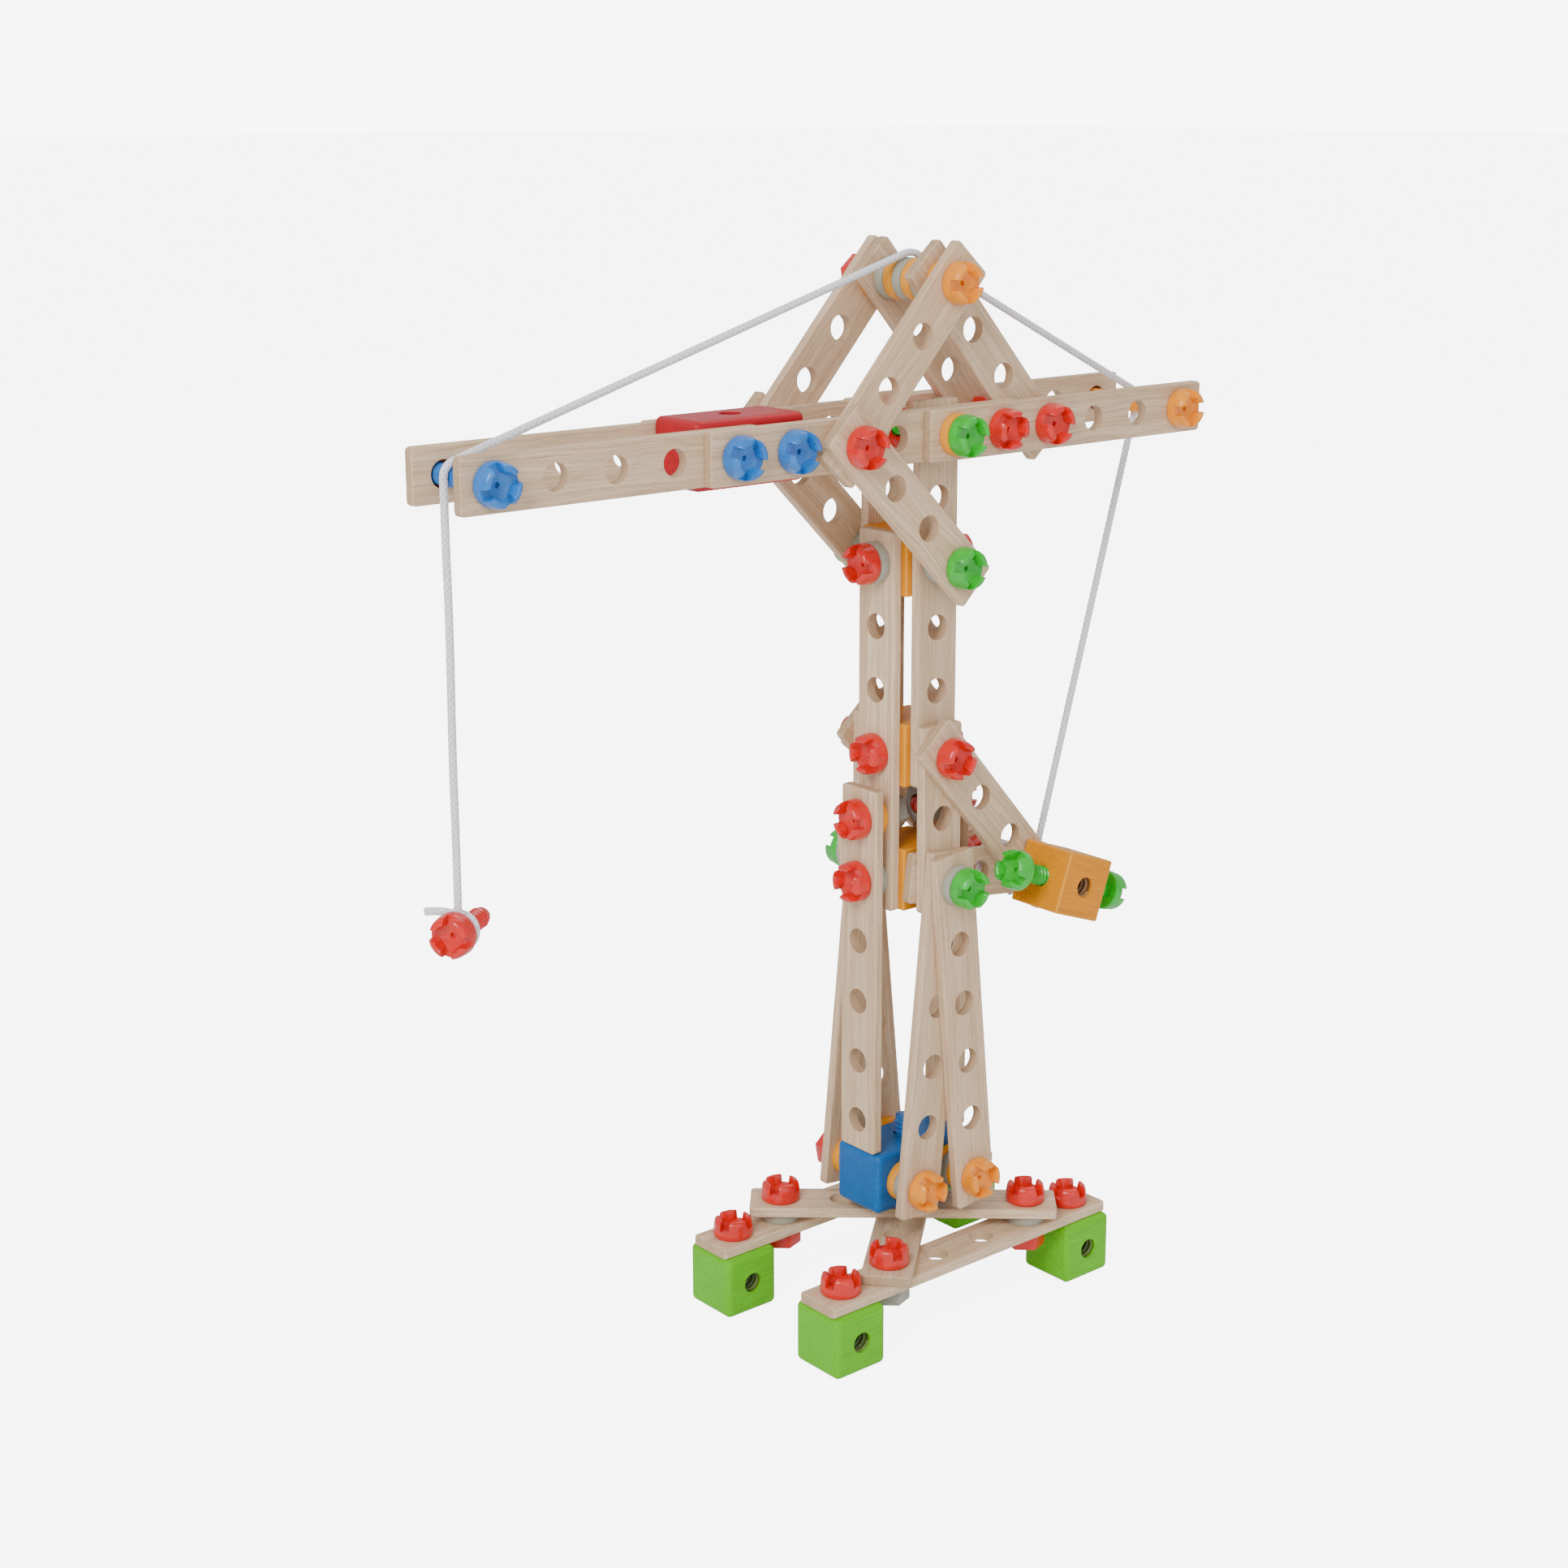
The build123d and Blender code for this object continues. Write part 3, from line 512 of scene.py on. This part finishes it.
def solidsOf(nodeName):
    # The separate solids of a CAD node, each as its corner points in millimetres
    bm = bmesh.new()
    bm.from_mesh(nodes[nodeName].data)
    bmesh.ops.remove_doubles(bm, verts=bm.verts, dist=2e-6)
    seen, solids = set(), []
    for first in bm.verts:
        if first in seen:
            continue
        seen.add(first)
        waiting, points = [first], []
        while waiting:
            vert = waiting.pop()
            points.append(vert.co / mm)
            for edge in vert.link_edges:
                other = edge.other_vert(vert)
                if other not in seen:
                    seen.add(other)
                    waiting.append(other)
        solids.append(points)
    bm.free()
    return solids


def extentOf(points):
    low = Vector([min(point[i] for point in points) for i in range(3)])
    high = Vector([max(point[i] for point in points) for i in range(3)])
    return low, high


def screwPlaces(nodeName):
    # Seat, outward direction and shaft length of every screw in the node
    places = []
    for points in solidsOf(nodeName):
        low, high = extentOf(points)
        size = high - low
        way = max(range(3), key=lambda i: size[i])
        middle = (low + high) / 2
        axis = Vector([float(i == way) for i in range(3)])
        head = [point[way] for point in points
                if (point - middle - axis * (point[way] - middle[way])).length > castle["radius"] - 1]
        outward = axis if sum(head) / len(head) > middle[way] else -axis
        seat = middle.copy()
        seat[way] = min(head) if outward[way] > 0 else max(head)
        places.append((seat, outward, size[way] - castle["height"]))
    return places


def screwSet(name, colourName, body, nodeName, places=None):
    bm = bmesh.new()
    for seat, outward, length in places or screwPlaces(nodeName):
        turn = random.uniform(0, math.pi / 2)
        addCopy(bm, headMesh, seat, outward, turn)
        addCopy(bm, makeShaft(length), seat, outward, turn)
    return finishPiece(name, bm, [plastics[colourName]], body, [nodeName])


screwSet("baseScrews", "red", "base", "base_screws")
screwSet("redScrews", "red", "tower", "red_screws")
screwSet("greenScrews", "green", "tower", "green_screws")
screwSet("blueScrews", "blue", "tower", "blue_screws")
screwSet("amberScrews", "amber", "tower", "amber_screws")
screwSet("slewScrew", "blue", "tower", "slew_screw")
screwSet("winchAxle", "amber", "winch", "winch_axle")
gripSeat = pitch / 2 + crankArm["show"]
gripLength = crankArm["show"] + crankArm["bite"]
gripPlaces = [(winchMiddle + crank * way * gripSeat, crank * way, gripLength) for way in (-1, 1)]
screwSet("winchGrips", "green", "winch", "winch_grips", gripPlaces)
print("screws finished")

# Hexagon nuts and flat rings
nut = {"flats": 17.4, "height": 8.0, "bore": 4.85, "edge": 0.55}
ring = {"radius": 9.75, "bore": 5.2, "edge": 0.7}


def makeNut():
    bm = bmesh.new()
    outside = bmesh.ops.create_circle(bm, segments=6, radius=nut["flats"] / math.sqrt(3))["verts"]
    inside = bmesh.ops.create_circle(bm, segments=30, radius=nut["bore"])["verts"]
    rings = list({edge for vert in outside + inside for edge in vert.link_edges})
    bmesh.ops.bridge_loops(bm, edges=rings)
    lifted = bmesh.ops.extrude_face_region(bm, geom=bm.faces[:])["geom"]
    verts = [each for each in lifted if isinstance(each, bmesh.types.BMVert)]
    bmesh.ops.translate(bm, vec=(0, 0, nut["height"]), verts=verts)
    bmesh.ops.recalc_face_normals(bm, faces=bm.faces)
    corners = [edge for edge in bm.edges if len(edge.link_faces) == 2 and edge.calc_face_angle(0) > 0.7]
    bmesh.ops.bevel(bm, geom=corners, offset=nut["edge"], segments=3, affect="EDGES", profile=0.5,
                    material=-1, clamp_overlap=True)
    return keepAsMesh("hexNut", bm)


ringMeshes = {}


def makeRing(thickness):
    key = round(thickness, 2)
    if key not in ringMeshes:
        bm = bmesh.new()
        r, bore, edge = ring["radius"], ring["bore"], ring["edge"]
        small = edge * 0.3
        rim = [(bore, 0.3), (bore + 0.3, 0), (r - edge, 0), (r - small, small), (r, edge),
               (r, thickness - edge), (r - small, thickness - small), (r - edge, thickness),
               (bore + 0.3, thickness), (bore, thickness - 0.3)]
        lathe(bm, rim, 56, closed=True)
        ringMeshes[key] = keepAsMesh("flatRing", bm)
    return ringMeshes[key]


nutMesh = makeNut()


def nutSet(name, colourNames, body, nodeName):
    # colourNames gives each nut its own colour, in the order that the solids are found along X
    bm = bmesh.new()
    found = sorted(solidsOf(nodeName),
                   key=lambda points: sum(point.x - point.y for point in points) / len(points))
    for index, points in enumerate(found):
        low, high = extentOf(points)
        size = high - low
        way = min(range(3), key=lambda i: size[i])
        axis = Vector([float(i == way) for i in range(3)])
        middle = (low + high) / 2
        corner = max(points, key=lambda point: (point - middle - axis * (point[way] - middle[way])).length)
        seat = middle - axis * nut["height"] / 2
        aim = axis.to_track_quat("Z", "Y").to_matrix().inverted() @ (corner - middle)
        before = len(bm.faces)
        addCopy(bm, nutMesh, seat, axis, math.atan2(aim.y, aim.x))
        bm.faces.ensure_lookup_table()
        for face in bm.faces[before:]:
            face.material_index = index % len(colourNames)
    materials = [plastics[colourName] for colourName in colourNames]
    return finishPiece(name, bm, materials, body, [nodeName])


def ringSet(name, ringNames, body, nodeName):
    bm = bmesh.new()
    found = sorted(solidsOf(nodeName), key=lambda points: min(point.y for point in points))
    for index, points in enumerate(found):
        low, high = extentOf(points)
        size = high - low
        way = min(range(3), key=lambda i: size[i])
        axis = Vector([float(i == way) for i in range(3)])
        stack = max(1, round(size[way] / layer))
        for each in range(stack):
            seat = (low + high) / 2
            seat[way] = low[way] + each * size[way] / stack
            before = len(bm.faces)
            addCopy(bm, makeRing(size[way] / stack), seat, axis, random.uniform(0, 6))
            bm.faces.ensure_lookup_table()
            for face in bm.faces[before:]:
                face.material_index = index % len(ringNames)
    materials = [ringPaints[ringName] for ringName in ringNames]
    return finishPiece(name, bm, materials, body, [nodeName])


nutSet("baseNuts", ["red", "grey", "red", "red"], "base", "base_nuts")
nutSet("redNuts", ["red"], "tower", "red_nuts")
nutSet("greyNuts", ["grey"], "tower", "grey_nuts")
nutSet("winchNut", ["red"], "winch", "winch_nut")
ringSet("greyRings", ["greyRing"], "tower", "grey_washers")
ringSet("amberRings", ["amberRing"], "tower", "amber_washers")
ringSet("topSpoolRings", ["greyRing", "amberRing"], "top_spool", "spool_washers")
ringSet("baseRings", ["greyRing"], "base", "base_washers")
ringSet("slewRing", ["greyRing"], "base", "slew_washer")
print("nuts and rings finished")

# Threads cut in the bores that stay open
boreThread = {"crest": 4.15, "wall": 5.0, "pitch": 2.6, "steps": 24}


def addBoreThread(bm, start, outward, depth):
    rib = bmesh.new()
    crest, wall, rise = boreThread["crest"], boreThread["wall"], boreThread["pitch"]
    section = [(wall, 0), (crest, 0.3 * rise), (crest, 0.42 * rise), (wall, 0.72 * rise)]
    verts = [rib.verts.new((radius, 0, height)) for radius, height in section]
    edges = [rib.edges.new(pair) for pair in zip(verts, verts[1:] + verts[:1])]
    turns = (depth - rise) / rise
    steps = round(turns * boreThread["steps"])
    bmesh.ops.spin(rib, geom=verts + edges, cent=(0, 0, 0), axis=(0, 0, 1), angle=2 * math.pi * turns,
                   steps=steps, dvec=(0, 0, rise * turns / steps))
    bmesh.ops.holes_fill(rib, edges=[edge for edge in rib.edges if edge.is_boundary], sides=0)
    addCopy(bm, keepAsMesh("boreRib", rib), start, outward, random.uniform(0, 6))


# The threads take each block's stain darkened: painted shade inside the bores
shadedBoreWood = {
    "feet": ((0.1, 0.16, 0.02, 1), (0.3, 0.24, 0.1, 1)),
    "crank": ((0.3, 0.14, 0.05, 1), (0.5, 0.28, 0.12, 1)),
    "jib": ((0.25, 0.012, 0.014, 1), (0.4, 0.05, 0.05, 1)),
}


def boreMaterial(name):
    stain, wornAndHighlight = shadedBoreWood[name]
    values = {"Half": (1000, 1000, 1000), "Stain": stain, "WornAndHighlight": wornAndHighlight, "Bore": stain}
    return finishMaterial(name + "BoreWood", stainGroup, values, 0.05)


bm = bmesh.new()
for side, sideName in sideNames:
    for end, endName in endNames:
        middle = boxMiddle("foot_" + endName + "_" + sideName)
        addBoreThread(bm, middle - Vector((0, 14.3, 0)), (0, 1, 0), 28.6)
finishPiece("feetThreads", bm, [boreMaterial("feet")], "base", [])
bm = bmesh.new()
addBoreThread(bm, winchMiddle - Vector((0, 14.4, 0)), (0, 1, 0), 8.8)
finishPiece("crankThread", bm, [boreMaterial("crank")], "winch", [])
bm = bmesh.new()
addBoreThread(bm, boxMiddle("jib_block") - Vector((0, 0, 14.4)), (0, 0, 1), 28.8)
finishPiece("jibThread", bm, [boreMaterial("jib")], "tower", [])
print("threads finished")

# Hoisting cord: white braid, eight plaits round
cord = {"diameter": 3.5, "plaits": 4, "plaitLength": 3.0, "relief": 0.17, "ringStep": 0.36, "sides": 24}
hoistRoute = [
    (102.0, -12.8, 194.4), (106.7, -12.8, 193.5), (115.2, -12.8, 198.2), (118.7, -12.8, 207.2),
    (122.8, -12.0, 217.8), (194.9, 3.0, 405.4), (200.5, 4.0, 420.0), (202.4, 4.0, 425.0),
    (200.4, 4.0, 430.0), (195.6, 4.0, 432.4), (181.5, 3.8, 439.2), (67.1, 1.3, 494.6),
    (52.2, 1.0, 501.8), (48.2, 1.0, 503.8), (43.7, 1.0, 504.1), (39.4, 1.0, 502.8),
    (23.6, 1.2, 498.1), (-179.1, 4.4, 437.0), (-194.8, 4.5, 432.3), (-199.2, 4.5, 430.9),
    (-201.9, 4.5, 427.3), (-201.8, 4.5, 425.0),
]
fallRoute = [(-201.8, 4.5, 424.9), (-201.9, 4.5, 404.0), (-201.3, 4.4, 366.0), (-202.0, 4.5, 310.0),
             (-201.6, 4.5, 268.0), (-201.8, 4.5, 244.9)]


def lineAlong(route):
    # The points of one smooth NURBS line through the route, in millimetres
    curve = bpy.data.curves.new("cordLine", "CURVE")
    curve.dimensions = "3D"
    curve.resolution_u = 24
    spline = curve.splines.new("NURBS")
    spline.points.add(len(route) - 1)
    for point, place in zip(spline.points, route):
        point.co = (*place, 1)
    spline.order_u = 3
    spline.use_endpoint_u = True
    holder = bpy.data.objects.new("cordLine", curve)
    mesh = bpy.data.meshes.new_from_object(holder)
    points = [vert.co.copy() for vert in mesh.vertices]
    bpy.data.objects.remove(holder)
    bpy.data.meshes.remove(mesh)
    return points


def braidHeight(along, around):
    # Plaits of two opposite spirals going over and under each other
    one = cord["plaits"] * around + along / cord["plaitLength"]
    other = cord["plaits"] * around - along / cord["plaitLength"]
    over = (math.floor(one) + math.floor(other)) % 2
    across = other - math.floor(other) if over else one - math.floor(one)
    return math.sin(math.pi * across) ** 0.7


def braidTube(line):
    # A grid wrapped round the line, so the braid's own map comes with it
    reached = [0.0]
    for first, second in zip(line, line[1:]):
        reached.append(reached[-1] + (second - first).length)
    length = reached[-1]
    rings = max(8, round(length / cord["ringStep"]))
    sides = cord["sides"]
    bm = bmesh.new()
    bm.loops.layers.uv.new("braidMap")
    bmesh.ops.create_grid(bm, x_segments=rings, y_segments=sides, size=0.5, calc_uvs=True)
    bm.verts.ensure_lookup_table()
    heights = bm.verts.layers.float.new("plait")
    rows = {}
    for vert in bm.verts:
        rows.setdefault(round((vert.co.x + 0.5) * rings), []).append(vert)
    radius = cord["diameter"] / 2
    segment, side = 0, None
    for row in sorted(rows):
        along = length * row / rings
        while segment < len(line) - 2 and reached[segment + 1] < along:
            segment += 1
        part = (along - reached[segment]) / (reached[segment + 1] - reached[segment])
        spot = line[segment].lerp(line[segment + 1], part)
        ahead = (line[segment + 1] - line[segment]).normalized()
        if side is None:
            side = ahead.orthogonal().normalized()
        side = (side - ahead * side.dot(ahead)).normalized()
        up = ahead.cross(side)
        for vert in rows[row]:
            around = vert.co.y + 0.5
            height = braidHeight(along, around)
            reach = radius - cord["relief"] * (1 - height)
            angle = 2 * math.pi * around
            vert[heights] = height
            vert.co = spot + (side * math.cos(angle) + up * math.sin(angle)) * reach
    bmesh.ops.remove_doubles(bm, verts=bm.verts, dist=0.002)
    bmesh.ops.holes_fill(bm, edges=[edge for edge in bm.edges if edge.is_boundary], sides=0)
    bmesh.ops.recalc_face_normals(bm, faces=bm.faces)
    return bm, length


def makeBraidMaterial():
    material = bpy.data.materials.new("whiteBraid")
    material.use_nodes = True
    tree = material.node_tree
    principled = tree.nodes["Principled BSDF"]
    spot = addNode(tree, "TexCoord")
    plait = addNode(tree, "Attribute", attribute_name="plait").outputs["Fac"]
    place = addNode(tree, "Mapping", {0: spot.outputs["Object"], 3: (mm, mm, mm)},
                    vector_type="TEXTURE").outputs[0]
    threads = noise(tree, place, (3.2, 3.2, 3.2), 3.0, 0.6)
    dull = noise(tree, place, (0.12, 0.12, 0.12), 2.0)
    # The grooves between the plaits are darkened to a cool grey: painted shade on the white cord
    colour = blendColour(tree, fade(tree, plait, 0.1, 0.8), (0.36, 0.36, 0.43, 1), (0.84, 0.84, 0.87, 1))
    colour = blendColour(tree, fade(tree, threads, 0.45, 0.7, 0.0, 0.25), colour, (0.62, 0.62, 0.67, 1))
    colour = blendColour(tree, fade(tree, dull, 0.45, 0.75, 0.0, 0.2), colour, (0.72, 0.72, 0.74, 1))
    rise = addNode(tree, "Bump", {"Height": threads, "Distance": 0.12 * mm, "Strength": 1.0})
    tree.links.new(colour, principled.inputs["Base Color"])
    tree.links.new(rise.outputs[0], principled.inputs["Normal"])
    tree.links.new(fade(tree, threads, 0.3, 0.7, 0.72, 0.85), principled.inputs["Roughness"])
    principled.inputs["Specular IOR Level"].default_value = 0.3
    principled.inputs["Sheen Weight"].default_value = 0.25
    return material


braid = makeBraidMaterial()


def cordPiece(name, route, body, replaced):
    line = lineAlong(route)
    bm, length = braidTube(line)
    obj = finishPiece(name, bm, [braid], body, replaced, sharpest=80.0)
    return obj, line, length


hoistCord, hoistLine, hoistLength = cordPiece("hoistCord", hoistRoute, "tower", ["cord_run"])
fallCord, fallLine, fallLength = cordPiece("fallCord", fallRoute, None, ["cord_fall"])
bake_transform(fallCord)

# Load: a screw hung in the cord's knot
load = {"turn": 31, "hang": 188.75, "gap": 1.85, "shaft": 24.5, "ring": 6.6, "tail": 16.0}
loadTurn = math.radians(load["turn"])
loadAlong = Vector((math.cos(loadTurn), math.sin(loadTurn), 0))
loadAcross = Vector((0, 0, 1)).cross(loadAlong)
knotMiddle = Vector((-201.8, 4.5, jibZ - load["hang"]))
loadPlaces = [(knotMiddle - loadAlong * load["gap"], -loadAlong, load["shaft"])]
loadScrew = screwSet("loadScrew", "red", "load", "load_screw", loadPlaces)


def makeKnotRoute():
    # Down beside the shaft, once and a half round it, and out to a short loose end
    route = [knotMiddle + Vector((0, 0, load["ring"] + 3.0)) + loadAcross * 0.4]
    turnPoints = 16
    for index in range(int(turnPoints * 1.5) + 1):
        angle = math.radians(75) - 2 * math.pi * index / turnPoints
        reach = load["ring"] + 0.25
        shift = 0.05 + 3.3 * index / turnPoints
        around = loadAcross * math.cos(angle) + Vector((0, 0, 1)) * math.sin(angle)
        route.append(knotMiddle + around * reach + loadAlong * shift)
    return route


knotRoute = makeKnotRoute()
tailStart = knotMiddle + Vector((0, 0, load["ring"] + 0.4)) - loadAcross * 3.0 + loadAlong * 1.2
tailRoute = [tailStart, tailStart + loadAcross * 5, tailStart + loadAcross * 11 + Vector((0, 0, 0.9)),
             tailStart + loadAcross * (load["tail"] + 2.6) + Vector((0, 0, -0.3))]
bm, _ = braidTube(lineAlong(knotRoute))
tail, _ = braidTube(lineAlong(tailRoute))
tailMesh = keepAsMesh("knotTail", tail)
bm.from_mesh(tailMesh)
loadKnot = finishPiece("loadKnot", bm, [braid], "load", ["cord_knot"], sharpest=80.0)

# Cord wound on the winch axle: a layer out and a looser layer back over it
winding = {"inner": 6.6, "outer": 9.0, "turnPoints": 14}
windLow, windHigh = (Vector(corner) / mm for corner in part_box("cord_winding"))
firstY, lastY = windLow.y + 1.9, windHigh.y - 1.9


def makeWindingRoute():
    route = []
    turns = int((lastY - firstY) / (cord["diameter"] + 0.02))
    steps = turns * winding["turnPoints"]
    for layerIndex, reach in enumerate((winding["inner"], winding["outer"])):
        for index in range(steps + 1):
            part = index / steps
            y = firstY + (lastY - firstY) * (part if layerIndex == 0 else 1 - part)
            angle = -2 * math.pi * (index + layerIndex * (steps + 1)) / winding["turnPoints"]
            sideways, upwards = reach * math.cos(angle), reach * math.sin(angle)
            route.append(Vector((winchMiddle.x + sideways, y, winchMiddle.z + upwards)))
    return route


winchCord, windLine, windLength = cordPiece("winchCord", makeWindingRoute(), "winch", ["cord_winding"])
print("cords finished", round(hoistLength), round(fallLength), round(windLength))

# Floor, light and camera
studio = {"floorSize": 30.0, "floor": (0.93, 0.93, 0.93, 1), "world": (1.0, 1.0, 1.0, 1),
          "worldStrength": 0.8, "backdrop": 8.0, "floorGlow": 6.0}
floorMesh = bmesh.new()
bmesh.ops.create_grid(floorMesh, x_segments=2, y_segments=2, size=studio["floorSize"])
mesh = bpy.data.meshes.new("floor")
floorMesh.to_mesh(mesh)
floorMesh.free()
floor = bpy.data.objects.new("floor", mesh)
bpy.context.scene.collection.objects.link(floor)
floorPaint = bpy.data.materials.new("floorPaper")
floorPaint.use_nodes = True
floorPaint.node_tree.nodes["Principled BSDF"].inputs["Base Color"].default_value = studio["floor"]
floorPaint.node_tree.nodes["Principled BSDF"].inputs["Roughness"].default_value = 0.9
# The paper looks far brighter to the camera than it lights the crane
paperTree = floorPaint.node_tree
paperShader = paperTree.nodes["Principled BSDF"]
rays = addNode(paperTree, "LightPath")
glow = sums(paperTree, "MULTIPLY", rays.outputs["Is Camera Ray"], studio["floorGlow"])
paperShader.inputs["Emission Color"].default_value = (1, 1, 1, 1)
paperTree.links.new(glow, paperShader.inputs["Emission Strength"])
mesh.materials.append(floorPaint)

world = bpy.data.worlds.new("studio")
bpy.context.scene.world = world
world.use_nodes = True
world.node_tree.nodes["Background"].inputs[0].default_value = studio["world"]
worldRays = addNode(world.node_tree, "LightPath")
strength = addNode(world.node_tree, "MapRange", {
    "Value": worldRays.outputs["Is Camera Ray"],
    "To Min": studio["worldStrength"], "To Max": studio["backdrop"]})
world.node_tree.links.new(strength.outputs[0], world.node_tree.nodes["Background"].inputs[1])

lamps = {
    "keyLight": ((-1.5, -0.75, 1.5), 0.9, 36.0),
    "fillLight": ((-0.3, -1.9, 0.9), 1.4, 7.0),
    "backLight": ((1.2, 0.3, 1.9), 1.2, 8.0),
}
target = Vector((0.02, 0, 0.25))
for lampName, (place, size, power) in lamps.items():
    light = bpy.data.lights.new(lampName, "AREA")
    light.size = size
    light.energy = power
    lamp = bpy.data.objects.new(lampName, light)
    lamp.location = place
    lamp.rotation_euler = (target - Vector(place)).to_track_quat("-Z", "Y").to_euler()
    bpy.context.scene.collection.objects.link(lamp)

view = {"eye": (-0.738, -0.849, 0.575), "heading": 40.55, "drop": 13.42, "roll": 0.02,
        "lens": 58.2, "shift": (-0.02, -0.057)}
heading, drop = math.radians(view["heading"]), math.radians(view["drop"])
ahead = Vector((math.sin(heading) * math.cos(drop), math.cos(heading) * math.cos(drop), -math.sin(drop)))
rightward = ahead.cross(Vector((0, 0, 1))).normalized()
upward = rightward.cross(ahead)
aim = Matrix((rightward, upward, -ahead)).transposed().to_4x4()
camera = bpy.data.objects.new("camera", bpy.data.cameras.new("camera"))
camera.data.lens = view["lens"]
camera.data.shift_x, camera.data.shift_y = view["shift"]
rolled = Matrix.Rotation(math.radians(view["roll"]), 4, "Z")
camera.matrix_world = Matrix.Translation(view["eye"]) @ aim @ rolled
bpy.context.scene.collection.objects.link(camera)
bpy.context.scene.camera = camera

bpy.context.view_layer.update()
print("scene finished")
